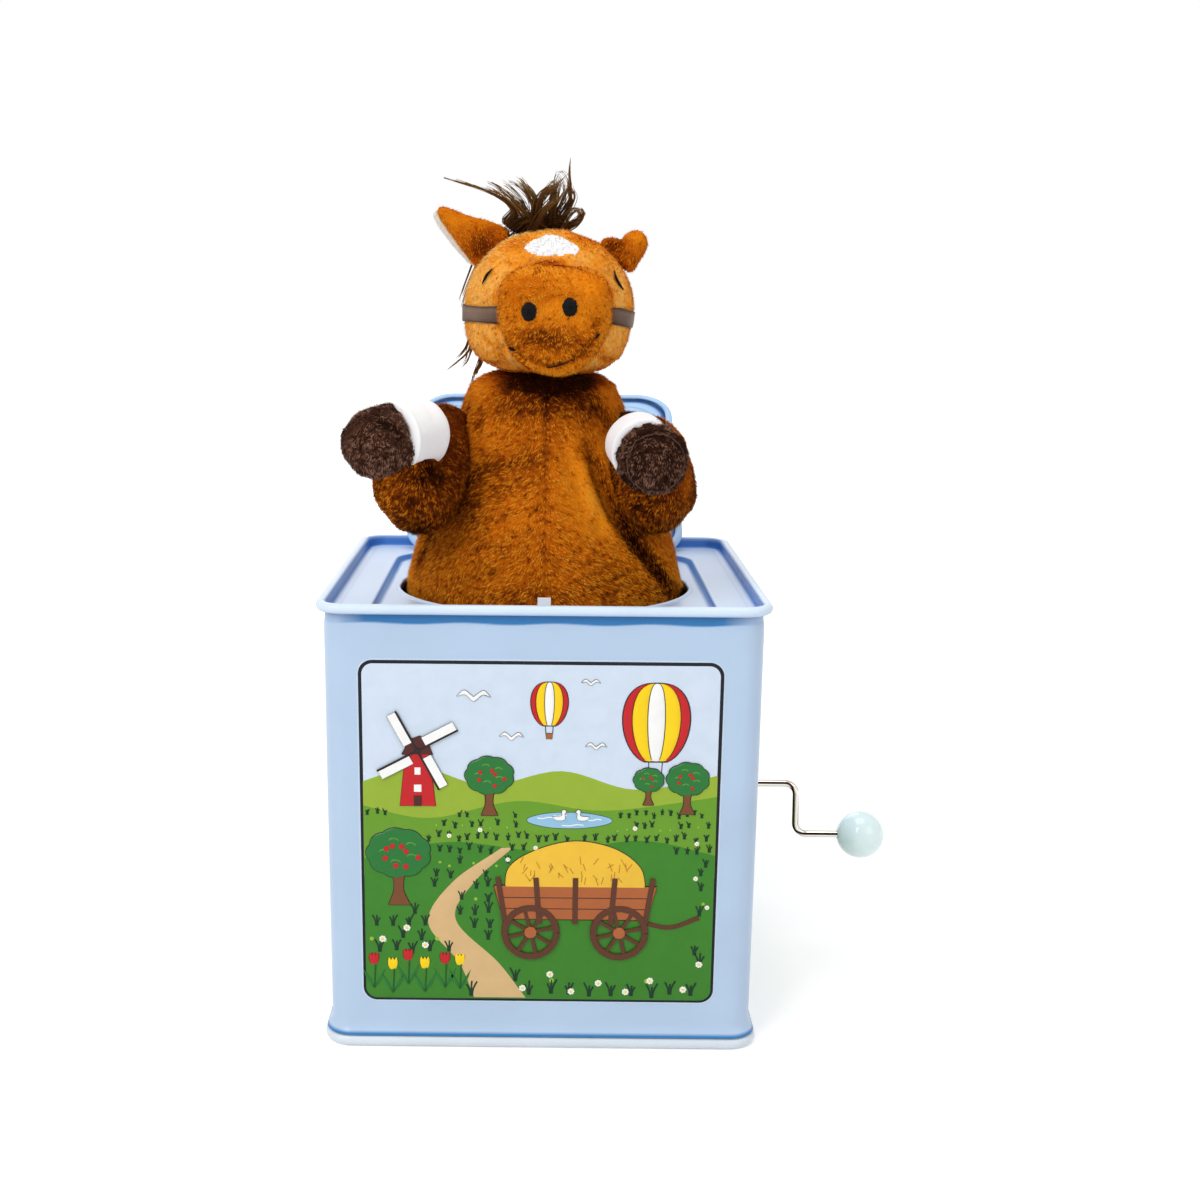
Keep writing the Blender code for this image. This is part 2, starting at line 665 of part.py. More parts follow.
def make_base_plate(skin):
    half = HALF + BASE_BEAD_FLARE - BASE_BEAD_RADIUS
    outline = rounded_rectangle(half, half, TIN_CORNER)
    bead = wire("base_plate", [(x, y, BASE_BEAD_RADIUS) for x, y in outline], BASE_BEAD_RADIUS, 2, True)
    panel = flat_piece("base_panel", outline, SHEET, Matrix.Translation((0, 0, SHEET / 2)))
    item = join(bead, panel)
    for index in range(RIVET_COUNT):
        x, y = rivet_place(index)
        cut(item, rod("rivet_hole", RIVET_RADIUS + RUN_GAP, (x, y, -OVERRUN), (x, y, OVERRUN), 12))
    return finish(item, skin)


def rivet_place(index):
    angle = 2 * math.pi * (index + 1 / 4) / RIVET_COUNT
    return RIVET_CIRCLE * math.cos(angle), HOLE_Y + RIVET_CIRCLE * math.sin(angle)


def make_lid(skin):
    """The lid is made closed about its hinge, and is turned open by its object's rotation."""
    half_x = LID_HALF_WIDTH - LID_BEAD_RADIUS
    half_y = LID_LENGTH / 2 - LID_BEAD_RADIUS
    corner = LID_CORNER - LID_BEAD_RADIUS
    outline = [(x, y - half_y) for x, y in rounded_rectangle(half_x, half_y, corner)]
    bead = wire("lid", [(x, y, 0) for x, y in outline], LID_BEAD_RADIUS, 2, True)
    rim_top = LID_BEAD_RADIUS - SHEET / 2
    step_half_x = half_x - LID_PANEL_MARGIN
    step_half_y = half_y - LID_PANEL_MARGIN
    slope = LID_PANEL_SLOPE
    levels = [
        (half_x, half_y, corner, -half_y, rim_top),
        (step_half_x, step_half_y, corner - slope, -half_y, rim_top),
        (step_half_x - slope, step_half_y - slope, corner - 2 * slope, -half_y, rim_top - LID_PANEL_STEP),
    ]
    border = baked(ring_shell("lid_border", levels, SHEET))
    panel_outline = rounded_rectangle(step_half_x - slope / 2, step_half_y - slope / 2, corner - slope)
    panel_z = rim_top - LID_PANEL_STEP - SHEET / 2
    panel = flat_piece(
        "lid_panel", panel_outline, SHEET, Matrix.Translation((0, -half_y, panel_z))
    )
    item = join(bead, border, panel)
    reach = HINGE_PIN_LENGTH / 2 + GAP
    cut(item, rod("hinge_bore", HINGE_PIN_RADIUS + RUN_GAP, (-reach, 0, 0), (reach, 0, 0), 12))
    for side in (-1, 1):
        middle = side * HINGE_LUG_X
        half = HINGE_LUG_WIDTH / 2 + GAP
        notch = box(
            "hinge_notch",
            (middle - half, -HINGE_NOTCH_DEPTH, -OVERRUN),
            (middle + half, OVERRUN, OVERRUN),
        )
        cut(item, notch)
    item = baked(item)
    item.matrix_world = Matrix.Translation((0, HINGE_Y, HINGE_Z)) @ Matrix.Rotation(-LID_OPEN, 4, "X")
    return finish(item, skin)


def make_hinge_pin(skin):
    half = HINGE_PIN_LENGTH / 2
    item = rod("hinge_pin", HINGE_PIN_RADIUS, (-half, HINGE_Y, HINGE_Z), (half, HINGE_Y, HINGE_Z), 10)
    return finish(item, skin)


def make_hinge_lug(name, side, skin):
    left = side * HINGE_LUG_X - HINGE_LUG_WIDTH / 2
    right = left + HINGE_LUG_WIDTH
    foot_z = FLOOR_Z + GAP
    knuckle = rod(name, HINGE_LUG_RADIUS, (left, HINGE_Y, HINGE_Z), (right, HINGE_Y, HINGE_Z), 16)
    web = box(
        "lug_web",
        (left, HINGE_Y - HINGE_LUG_RADIUS, foot_z),
        (right, HINGE_Y + HINGE_LUG_RADIUS, HINGE_Z),
    )
    foot = box(
        "lug_foot",
        (left, HINGE_Y - HINGE_FOOT_LENGTH, foot_z),
        (right, HINGE_Y + HINGE_LUG_RADIUS, foot_z + HINGE_FOOT_THICKNESS),
    )
    item = join(knuckle, web, foot)
    bore = rod(
        "lug_bore", HINGE_PIN_RADIUS + RUN_GAP,
        (left - OVERRUN, HINGE_Y, HINGE_Z), (right + OVERRUN, HINGE_Y, HINGE_Z), 12,
    )
    return finish(cut(item, bore), skin)


def rounded_path(corners, radius, steps=5):
    """The corners' path with each inner corner rounded to the radius."""
    points = [Vector(corners[0])]
    for before, corner, after in zip(corners, corners[1:], corners[2:]):
        corner = Vector(corner)
        back = (Vector(before) - corner).normalized()
        ahead = (Vector(after) - corner).normalized()
        half_angle = back.angle(ahead) / 2
        inward = (back + ahead).normalized()
        across = (ahead - back).normalized()
        centre = corner + inward * (radius / math.sin(half_angle))
        sweep = math.pi / 2 - half_angle
        for step in range(steps + 1):
            angle = sweep * (2 * step / steps - 1)
            points.append(centre + (across * math.sin(angle) - inward * math.cos(angle)) * radius)
    points.append(Vector(corners[-1]))
    return points


def make_crank_handle(skin):
    low_z = CRANK_Z - CRANK_THROW
    corners = [
        (WIRE_INNER_X, 0, CRANK_Z), (CRANK_ARM_X, 0, CRANK_Z), (CRANK_ARM_X + CRANK_SLANT, 0, low_z),
        (KNOB_X - KNOB_RADIUS + KNOB_BORE_DEPTH - GAP, 0, low_z),
    ]
    item = wire("crank_handle", rounded_path(corners, CRANK_BEND), WIRE_RADIUS, 3)
    return finish(move_origin(item, (0, 0, CRANK_Z)), skin)


def make_crank_knob(skin):
    bore = BORE_RADIUS
    start = math.asin(bore / KNOB_RADIUS)
    steps = 10
    profile = []
    for step in range(steps + 1):
        angle = (math.pi - start) * step / steps
        profile.append((KNOB_RADIUS * math.sin(angle), KNOB_RADIUS * math.cos(angle)))
    floor = -KNOB_RADIUS + KNOB_BORE_DEPTH
    profile += [(bore, floor), (0, floor)]
    where = Matrix.Translation((KNOB_X, 0, CRANK_Z - CRANK_THROW)) @ AXIS_X
    item = baked(turned("crank_knob", profile, where, 24))
    return finish(move_origin(item, (0, 0, CRANK_Z)), skin)


def make_crank_bush(skin):
    inner = -FRAME_SHEET - GAP - SHEET
    profile = [
        (BORE_RADIUS, BUSH_FLANGE), (BUSH_FLANGE_RADIUS - BUSH_FLANGE / 2, BUSH_FLANGE),
        (BUSH_FLANGE_RADIUS, BUSH_FLANGE / 2), (BUSH_FLANGE_RADIUS, 0), (BUSH_RADIUS, 0),
        (BUSH_RADIUS, inner), (BORE_RADIUS, inner), (BORE_RADIUS, BUSH_FLANGE),
    ]
    item = turned("crank_bush", profile, Matrix.Translation((HALF + GAP, 0, CRANK_Z)) @ AXIS_X, 24)
    return finish(item, skin)


def make_crank_collar(skin):
    left = FRAME_BACK_X - FRAME_SHEET - GAP - GAP - COLLAR_LENGTH
    profile = tube_ring_profile(BORE_RADIUS, COLLAR_RADIUS, 0, COLLAR_LENGTH)
    item = baked(turned("crank_collar", profile, Matrix.Translation((left, 0, CRANK_Z)) @ AXIS_X, 20))
    return finish(move_origin(item, (0, 0, CRANK_Z)), skin)


def thread_radius(phase):
    """The worm's radius across one pitch of its trapezoid thread."""
    flank_start_share = 0.25
    crest_start_share = 0.375
    away = phase % 1.0
    away = min(away, 1.0 - away)
    rise = (away - flank_start_share) / (crest_start_share - flank_start_share)
    rise = max(0.0, min(1.0, rise))
    return WORM_ROOT_RADIUS + (WORM_OUTER_RADIUS - WORM_ROOT_RADIUS) * rise


def make_worm(skin):
    """A single-start worm: its rings follow the thread, and its bore takes the crank wire."""
    stations_per_lead = WORM_SIDES // 2
    station = WORM_LEAD / stations_per_lead
    half_count = round(WORM_LENGTH / station / 2)
    shape = bmesh.new()
    rings = []
    for step in range(-half_count, half_count + 1):
        ring = []
        for side in range(WORM_SIDES):
            turn = side / WORM_SIDES
            phase = step / stations_per_lead - turn + 1 / 4 + 1 / 2
            radius = thread_radius(phase)
            angle = 2 * math.pi * turn
            place = (ARBOR_X + step * station, radius * math.cos(angle), CRANK_Z + radius * math.sin(angle))
            ring.append(shape.verts.new(place))
        rings.append(ring)
    for end in (-half_count, half_count):
        ring = []
        for side in range(WORM_SIDES):
            angle = 2 * math.pi * side / WORM_SIDES
            place = (
                ARBOR_X + end * station,
                BORE_RADIUS * math.cos(angle),
                CRANK_Z + BORE_RADIUS * math.sin(angle),
            )
            ring.append(shape.verts.new(place))
        if end < 0:
            rings.insert(0, ring)
        else:
            rings.append(ring)
    for index, ring in enumerate(rings):
        following = rings[(index + 1) % len(rings)]
        for side in range(WORM_SIDES):
            after = (side + 1) % WORM_SIDES
            shape.faces.new((ring[side], ring[after], following[after], following[side]))
    item = add_object("worm", mesh_from("worm", shape))
    return finish(move_origin(item, (0, 0, CRANK_Z)), skin, smooth=False)


def gear_outline(turn):
    """The toothed outline of the worm wheel in its own plane, turned by an angle."""
    points = []
    root_half = TOOTH_ROOT_WIDTH / 2 / WHEEL_ROOT_RADIUS
    tip_half = TOOTH_TIP_WIDTH / 2 / WHEEL_OUTER_RADIUS
    for tooth in range(WHEEL_TEETH):
        middle = 2 * math.pi * (tooth + 1 / 2) / WHEEL_TEETH - math.pi / 2 + turn
        for radius, angle in (
            (WHEEL_ROOT_RADIUS, middle - root_half), (WHEEL_OUTER_RADIUS, middle - tip_half),
            (WHEEL_OUTER_RADIUS, middle + tip_half), (WHEEL_ROOT_RADIUS, middle + root_half),
        ):
            points.append((radius * math.cos(angle), radius * math.sin(angle)))
    return points


def make_worm_wheel(skin):
    """The wheel's teeth lean with the worm's thread from its front face to its rear one."""
    lean = WORM_LEAD / (2 * math.pi * WORM_PITCH_RADIUS) / WHEEL_PITCH_RADIUS
    shape = bmesh.new()
    faces = []
    for y in (-WHEEL_WIDTH / 2, WHEEL_WIDTH / 2):
        outline = gear_outline(-lean * y)
        faces.append([shape.verts.new((ARBOR_X + x, y, ARBOR_Z + z)) for x, z in outline])
    front, rear = faces
    for index in range(len(front)):
        after = (index + 1) % len(front)
        shape.faces.new((front[index], front[after], rear[after], rear[index]))
    shape.faces.new(front)
    shape.faces.new(rear)
    item = add_object("worm_wheel", mesh_from("worm_wheel", shape))
    reach = WHEEL_WIDTH / 2 + WHEEL_HUB_WIDTH
    hub = rod("wheel_hub", WHEEL_HUB_RADIUS, (ARBOR_X, -reach, ARBOR_Z), (ARBOR_X, reach, ARBOR_Z), 20)
    item = join(item, hub)
    return finish(on_arbor(item, arbor_bore(-reach, reach)), skin, smooth=False)


def arbor_bore(low, high):
    return rod("arbor_bore", ARBOR_BORE, (ARBOR_X, low - OVERRUN, ARBOR_Z), (ARBOR_X, high + OVERRUN, ARBOR_Z), 16)


def on_arbor(item, *cutters):
    """Cuts a part that turns with the arbor, and puts its origin on the arbor."""
    item = baked(cut(item, *cutters)) if cutters else item
    return move_origin(item, (ARBOR_X, 0, ARBOR_Z))


def make_drum_arbor(skin):
    low = CAM_REAR_Y - CAM_THICKNESS - CAM_HUB_WIDTH - ARBOR_OVERHANG
    high = FRAME_HALF_WIDTH + CLIP_WIDTH + ARBOR_OVERHANG
    item = rod("drum_arbor", ARBOR_RADIUS, (ARBOR_X, low, ARBOR_Z), (ARBOR_X, high, ARBOR_Z), 16)
    return finish(on_arbor(item), skin)


def make_music_drum(skin):
    """The drum has a raised rim at each end, and pins that follow a seven-row tune pattern."""
    low = DRUM_OFFSET
    high = DRUM_OFFSET + DRUM_LENGTH
    core = rod("music_drum", DRUM_RADIUS, (ARBOR_X, low, ARBOR_Z), (ARBOR_X, high, ARBOR_Z), 28)
    pins = []
    pitch = reed_pitch()
    for reed in range(REED_COUNT):
        y = low + DRUM_RIM + pitch * (reed + 1 / 2)
        for beat in range(2):
            angle = 2 * math.pi * ((reed * 5 + beat * 7) % 13 + 1 / 2) / 13
            across = Vector((math.cos(angle), 0, math.sin(angle)))
            centre = Vector((ARBOR_X, y, ARBOR_Z))
            inner = centre + across * (DRUM_RADIUS - PIN_SINK)
            outer = centre + across * (DRUM_RADIUS + PIN_HEIGHT)
            pins.append(rod("drum_pin", PIN_RADIUS, inner, outer, 6))
    item = join(core, *pins)
    return finish(on_arbor(item, arbor_bore(low, high)), skin, smooth=False)


def reed_pitch():
    return (DRUM_LENGTH - 2 * DRUM_RIM) / REED_COUNT


def make_comb(skin):
    """A steel comb whose reeds reach down to just above the drum's pins."""
    tip_z = ARBOR_Z + DRUM_RADIUS + PIN_HEIGHT + GAP
    low = DRUM_OFFSET + DRUM_RIM
    high = low + REED_COUNT * reed_pitch()
    half = COMB_THICKNESS / 2
    item = box("comb", (ARBOR_X - half, low, tip_z), (ARBOR_X + half, high, tip_z + COMB_LENGTH))
    for slit in range(1, REED_COUNT):
        y = low + slit * reed_pitch()
        cutter = box(
            "comb_slit",
            (ARBOR_X - OVERRUN, y - REED_SLIT / 2, tip_z - OVERRUN),
            (ARBOR_X + OVERRUN, y + REED_SLIT / 2, tip_z + COMB_LENGTH - COMB_BASE),
        )
        cut(item, cutter)
    for y in comb_screw_places():
        z = comb_screw_z()
        hole = rod(
            "comb_hole", SCREW_RADIUS + RUN_GAP, (ARBOR_X - OVERRUN, y, z), (ARBOR_X + OVERRUN, y, z), 12
        )
        cut(item, hole)
    return finish(item, skin, smooth=False)


def comb_screw_places():
    middle = DRUM_OFFSET + DRUM_LENGTH / 2
    return middle - COMB_SCREW_Y, middle + COMB_SCREW_Y


def comb_screw_z():
    return ARBOR_Z + DRUM_RADIUS + PIN_HEIGHT + GAP + COMB_LENGTH - COMB_BASE / 2


def make_screw(name, seat, pointing, skin):
    """A round-headed screw: its seat is under the head, and it points along the given side."""
    profile = [
        (0, SCREW_HEAD_HEIGHT), (SCREW_HEAD_RADIUS * 3 / 4, SCREW_HEAD_HEIGHT * 3 / 4),
        (SCREW_HEAD_RADIUS, 0), (SCREW_RADIUS, 0), (SCREW_RADIUS, -SCREW_LENGTH), (0, -SCREW_LENGTH),
    ]
    turn = Vector(pointing).to_track_quat("-Z", "Y").to_matrix().to_4x4()
    return finish(turned(name, profile, Matrix.Translation(seat) @ turn, 14), skin)


def frame_screw_z():
    return CRANK_Z - FRAME_SCREW_DROP


def frame_screw_holes():
    holes = []
    for side in (-1, 1):
        y = side * FRAME_SCREW_Y
        left = FRAME_BACK_X - FRAME_SHEET - OVERRUN
        z = frame_screw_z()
        holes.append(rod("screw_hole", SCREW_RADIUS + RUN_GAP, (left, y, z), (HALF + OVERRUN, y, z), 14))
    return holes


def make_movement_frame(skin):
    """A folded channel: a back against the wall, two cheeks, a bar for the comb and a worm strap."""
    back = FRAME_BACK_X
    wide = FRAME_HALF_WIDTH
    outline = [
        (back, -wide), (back, wide), (FRAME_FRONT_X, wide), (FRAME_FRONT_X, SIDE_INNER_Y),
        (back - FRAME_SHEET, SIDE_INNER_Y), (back - FRAME_SHEET, -SIDE_INNER_Y),
        (FRAME_FRONT_X, -SIDE_INNER_Y), (FRAME_FRONT_X, -wide),
    ]
    middle = Matrix.Translation((0, 0, (FRAME_TOP_Z + FRAME_BOTTOM_Z) / 2))
    channel = flat_piece("movement_frame", outline, FRAME_TOP_Z - FRAME_BOTTOM_Z, middle)
    pieces = []
    reach = SIDE_INNER_Y + FRAME_SHEET / 2
    bar_left = ARBOR_X + COMB_THICKNESS / 2 + GAP
    bar_z = comb_screw_z()
    pieces.append(
        box(
            "comb_bar",
            (bar_left, -reach, bar_z - COMB_BAR_HEIGHT / 2),
            (bar_left + COMB_BAR_DEPTH, reach, bar_z + COMB_BAR_HEIGHT / 2),
        )
    )
    strap_left = FRAME_FRONT_X + FRAME_SHEET / 2
    pieces.append(
        box(
            "worm_strap",
            (strap_left, -reach, CRANK_Z - STRAP_HEIGHT / 2),
            (strap_left + FRAME_SHEET, reach, CRANK_Z + STRAP_HEIGHT / 2),
        )
    )
    item = join(channel, *pieces)
    ends = strap_left - OVERRUN, strap_left + FRAME_SHEET + OVERRUN
    worm_bearing = rod("worm_bearing", BORE_RADIUS, (ends[0], 0, CRANK_Z), (ends[1], 0, CRANK_Z), 16)
    ends = FRAME_BACK_X - FRAME_SHEET - OVERRUN, FRAME_BACK_X + OVERRUN
    bush_hole = rod("frame_bush_hole", BUSH_RADIUS + RUN_GAP, (ends[0], 0, CRANK_Z), (ends[1], 0, CRANK_Z))
    arbor_holes = arbor_bore(-FRAME_HALF_WIDTH, FRAME_HALF_WIDTH)
    cut(item, worm_bearing, bush_hole, arbor_holes, *frame_screw_holes())
    for y in comb_screw_places():
        low = bar_left - OVERRUN
        high = bar_left + COMB_BAR_DEPTH + OVERRUN
        cut(item, rod("bar_hole", SCREW_RADIUS + RUN_GAP, (low, y, bar_z), (high, y, bar_z), 12))
    return finish(item, skin, smooth=False)


def make_arbor_clip(skin):
    profile = tube_ring_profile(ARBOR_BORE, CLIP_RADIUS, 0, CLIP_WIDTH)
    place = Matrix.Translation((ARBOR_X, FRAME_HALF_WIDTH + GAP, ARBOR_Z)) @ AXIS_Y
    return finish(on_arbor(baked(turned("arbor_clip", profile, place, 18))), skin)


def make_trip_cam(skin):
    """A disc whose rear face carries the ramp that pushes the trip arm back once in a turn."""
    low = CAM_REAR_Y - CAM_THICKNESS
    disc = rod("trip_cam", CAM_RADIUS, (ARBOR_X, low, ARBOR_Z), (ARBOR_X, CAM_REAR_Y, ARBOR_Z), 32)
    hub_low = low - CAM_HUB_WIDTH
    hub = rod("cam_hub", CAM_HUB_RADIUS, (ARBOR_X, hub_low, ARBOR_Z), (ARBOR_X, CAM_REAR_Y, ARBOR_Z), 20)
    shape = bmesh.new()
    steps = 8
    sections = []
    for step in range(steps + 1):
        share = step / steps
        angle = math.radians(RAMP_CENTRE_DEGREES + RAMP_SPAN_DEGREES * (share - 1 / 2))
        height = RAMP_HEIGHT * min(1.0, 3 * min(share, 1 - share))
        section = []
        for radius, y in (
            (RAMP_INNER_RADIUS, low + CAM_THICKNESS / 2), (CAM_RADIUS, low + CAM_THICKNESS / 2),
            (CAM_RADIUS, CAM_REAR_Y + height), (RAMP_INNER_RADIUS, CAM_REAR_Y + height),
        ):
            place = (ARBOR_X + radius * math.cos(angle), y, ARBOR_Z + radius * math.sin(angle))
            section.append(shape.verts.new(place))
        sections.append(section)
    for first, second in zip(sections, sections[1:]):
        for index in range(4):
            after = (index + 1) % 4
            shape.faces.new((first[index], first[after], second[after], second[index]))
    shape.faces.new(sections[0])
    shape.faces.new(sections[-1])
    ramp = add_object("cam_ramp", mesh_from("cam_ramp", shape))
    item = join(disc, hub, ramp)
    return finish(on_arbor(item, arbor_bore(hub_low, CAM_REAR_Y)), skin)


def shaft_bore(low, high, radius=SHAFT_RADIUS + RUN_GAP):
    return rod("shaft_bore", radius, (low - OVERRUN, SHAFT_Y, SHAFT_Z), (high + OVERRUN, SHAFT_Y, SHAFT_Z), 14)


def on_shaft(item):
    return move_origin(item, (0, SHAFT_Y, SHAFT_Z))


def make_rock_shaft(skin):
    right = ARBOR_X + ARM_WIDTH / 2 + GAP * 3
    item = rod("rock_shaft", SHAFT_RADIUS, (SHAFT_LEFT_X, SHAFT_Y, SHAFT_Z), (right, SHAFT_Y, SHAFT_Z), 14)
    return finish(on_shaft(item), skin)


def side_piece(name, outline, width, middle_x):
    """A flat piece whose outline is in (y, z), with its width along X."""
    turn = Matrix(((0, 0, 1, 0), (1, 0, 0, 0), (0, 1, 0, 0), (0, 0, 0, 1)))
    return flat_piece(name, outline, width, Matrix.Translation((middle_x, 0, 0)) @ turn)


def make_latch_hook(skin):
    """The catch: a hub on the shaft, a blade up through the slot and a nose over the lid's bead."""
    front = HOOK_REAR_Y - HOOK_THICKNESS
    outline = [
        (SHAFT_Y + SHAFT_RADIUS * 2, SHAFT_Z), (HOOK_REAR_Y, SHAFT_Z + HUB_RADIUS * 2),
        (HOOK_REAR_Y, HOOK_TOP_Z - HOOK_NOSE_HEIGHT), (HOOK_REAR_Y + HOOK_NOSE, HOOK_TOP_Z - HOOK_NOSE_HEIGHT),
        (HOOK_REAR_Y + HOOK_NOSE / 3, HOOK_TOP_Z), (front, HOOK_TOP_Z),
        (front, SHAFT_Z + HUB_RADIUS * 2), (SHAFT_Y - SHAFT_RADIUS, SHAFT_Z),
    ]
    blade = side_piece("latch_hook", outline, HOOK_WIDTH, 0)
    half = HOOK_WIDTH / 2
    hub = rod("hook_hub", HUB_RADIUS, (-half, SHAFT_Y, SHAFT_Z), (half, SHAFT_Y, SHAFT_Z), 18)
    item = baked(cut(join(blade, hub), shaft_bore(-half, half)))
    return finish(on_shaft(item), skin)


def make_trip_arm(skin):
    """The arm runs from the shaft's right end down to the cam, and ends in an upright tail."""
    tail_z = ARBOR_Z + ARM_TAIL_RISE
    tail_top_z = tail_z + ARM_TAIL_HEIGHT
    tail_rear = ARM_TAIL_Y + ARM_THICKNESS
    outline = [
        (SHAFT_Y + HUB_RADIUS * 2 / 3, SHAFT_Z + HUB_RADIUS / 2), (tail_rear, tail_top_z + ARM_THICKNESS),
        (tail_rear, tail_z), (ARM_TAIL_Y, tail_z), (ARM_TAIL_Y, tail_top_z),
        (SHAFT_Y - HUB_RADIUS / 3, SHAFT_Z - HUB_RADIUS / 2),
    ]
    blade = side_piece("trip_arm", outline, ARM_WIDTH, ARBOR_X)
    low = ARBOR_X - ARM_WIDTH / 2
    high = ARBOR_X + ARM_WIDTH / 2
    hub = rod("arm_hub", HUB_RADIUS, (low, SHAFT_Y, SHAFT_Z), (high, SHAFT_Y, SHAFT_Z), 18)
    item = baked(cut(join(blade, hub), shaft_bore(low, high)))
    return finish(on_shaft(item), skin)


def make_hanger(name, middle_x, skin):
    """An angle under the top plate that carries the rock shaft."""
    top = FLOOR_Z - SHEET - GAP
    front = SHAFT_Y - HANGER_DEPTH / 2
    rear = SHAFT_Y + HANGER_DEPTH / 2
    half = HANGER_THICKNESS / 2
    web = box(name, (middle_x - half, front, SHAFT_Z - HANGER_BELOW_SHAFT), (middle_x + half, rear, top))
    foot = box(
        "hanger_foot",
        (middle_x - half, front, top - HANGER_FOOT_THICKNESS),
        (middle_x - half + HANGER_FOOT, rear, top),
    )
    item = cut(join(web, foot), shaft_bore(middle_x - half, middle_x + half))
    return finish(item, skin)


def make_catch_spring(skin):
    """A small torsion coil round the rock shaft, with a leg up to the plate and one on the shaft."""
    steps = 8
    points = helix(
        lambda share: CATCH_SPRING_RADIUS, lambda share: CATCH_SPRING_LENGTH * share, CATCH_SPRING_TURNS, steps
    )
    print("catch spring least gap, mm:", round(least_gap(points, CATCH_SPRING_WIRE, steps) / MM, 2))
    place = Matrix.Translation((CATCH_SPRING_X, SHAFT_Y, SHAFT_Z)) @ AXIS_X
    points = [place @ point for point in points]
    return finish(wire("catch_spring", points, CATCH_SPRING_WIRE, 1), skin)


def make_spring_seat(skin):
    """A flat disc with an upright collar that centres the coil."""
    outer = SEAT_COLLAR_RADIUS
    inner = SEAT_COLLAR_RADIUS - SEAT_COLLAR_WALL
    top = SEAT_THICKNESS
    profile = [
        (0, top), (inner, top), (inner, top + SEAT_COLLAR_HEIGHT), (outer, top + SEAT_COLLAR_HEIGHT),
        (outer, top), (SEAT_RADIUS, top), (SEAT_RADIUS, 0), (0, 0),
    ]
    item = baked(turned("spring_seat", profile, Matrix.Translation((0, HOLE_Y, SEAT_Z)), 36))
    for index in range(RIVET_COUNT):
        x, y = rivet_place(index)
        cut(item, rod("seat_hole", RIVET_RADIUS + RUN_GAP, (x, y, 0), (x, y, SEAT_TOP_Z + OVERRUN), 12))
    return finish(item, skin)


def make_seat_rivet(name, index, skin):
    x, y = rivet_place(index)
    shank = -(SEAT_TOP_Z + GAP) + GAP / 2
    profile = [
        (0, RIVET_HEAD_HEIGHT), (RIVET_HEAD_RADIUS * 3 / 4, RIVET_HEAD_HEIGHT * 3 / 4), (RIVET_HEAD_RADIUS, 0),
        (RIVET_RADIUS, 0), (RIVET_RADIUS, shank), (0, shank),
    ]
    return finish(turned(name, profile, Matrix.Translation((x, y, SEAT_TOP_Z + GAP)), 12), skin)


def make_hem_ring(skin):
    """The ring that clamps the foot of the puppet's skirt on the seat."""
    profile = tube_ring_profile(SEAT_RADIUS - HEM_RING_WALL, SEAT_RADIUS, 0, HEM_RING_HEIGHT)
    return finish(turned("hem_ring", profile, Matrix.Translation((0, HOLE_Y, HEM_Z)), 32), skin)


def make_pop_spring(skin):
    """A tapering coil whose end turns lie flat on the seat and under the disc."""
    steps = 10
    low = SEAT_TOP_Z + GAP + SPRING_WIRE
    high = SPRING_TOP_Z
    flat_share = 1 / SPRING_TURNS
    flat_rise = 3 * SPRING_WIRE

    def height(share):
        if share < flat_share:
            return low + flat_rise * share / flat_share
        if share > 1 - flat_share:
            return high - flat_rise * (1 - share) / flat_share
        middle = (share - flat_share) / (1 - 2 * flat_share)
        return low + flat_rise + (high - low - 2 * flat_rise) * middle

    def radius(share):
        return SPRING_BOTTOM_RADIUS + (SPRING_TOP_RADIUS - SPRING_BOTTOM_RADIUS) * share

    points = helix(radius, height, SPRING_TURNS, steps)
    print("pop spring least gap, mm:", round(least_gap(points, SPRING_WIRE, steps) / MM, 2))
    points = [point + Vector((0, HOLE_Y, 0)) for point in points]
    return finish(wire("pop_spring", points, SPRING_WIRE, 1), skin)


def make_head_disc(skin):
    profile = [
        (0, DISC_THICKNESS), (DISC_RADIUS, DISC_THICKNESS), (DISC_RADIUS, 0), (0, 0),
    ]
    return finish(turned("head_disc", profile, Matrix.Translation((0, HOLE_Y, DISC_Z)), 28), skin)


def body_profile():
    height = BODY_TOP_Z - HEM_Z
    return [(SKIRT_RADIUS * share, HEM_Z + height * rise_share) for share, rise_share in BODY_PROFILE_SHARES]


def body_cutter():
    """The body without its hollow and a gap larger, to shape the parts that are sewn to it."""
    profile = body_profile() + [(0, HEM_Z)]
    filled = baked(turned("body_filled", profile, Matrix.Translation((0, HOLE_Y, 0)), BODY_SIDES))
    grown = swollen(filled, GAP)
    bpy.data.objects.remove(filled)
    return grown


def make_plush_body(skin):
    """The horse's body: a stuffed skin from the neck down to the seat, widest in the tin's mouth."""
    item = turned("plush_body", body_profile(), Matrix.Translation((0, HOLE_Y, 0)), BODY_SIDES)
    skin_wall = item.modifiers.new("Wall", "SOLIDIFY")
    skin_wall.thickness = SKIRT_WALL
    skin_wall.offset = -1
    skin_wall.use_even_offset = True
    return finish(baked(item), skin)


def head_shaping(place):
    """The head is a little narrower at its crown and fuller at the cheeks."""
    crown_share = 0.10
    narrowing = 1 - crown_share * max(0.0, place.z)
    return Vector((place.x * narrowing, place.y, place.z))


def muzzle_shaping(place):
    """The muzzle narrows to the chin and droops a little at its front."""
    chin_share = 0.16
    droop_share = 0.06
    narrowing = 1 + chin_share * min(0.0, place.z)
    return Vector((place.x * narrowing, place.y, place.z + droop_share * min(0.0, place.y)))


def ear_shaping(place):
    """An ear is full near its base and runs to a point."""
    rise = (place.z + 1) / 2
    width = 1 - 0.85 * rise ** 3
    return Vector((place.x * width, place.y * width, place.z))


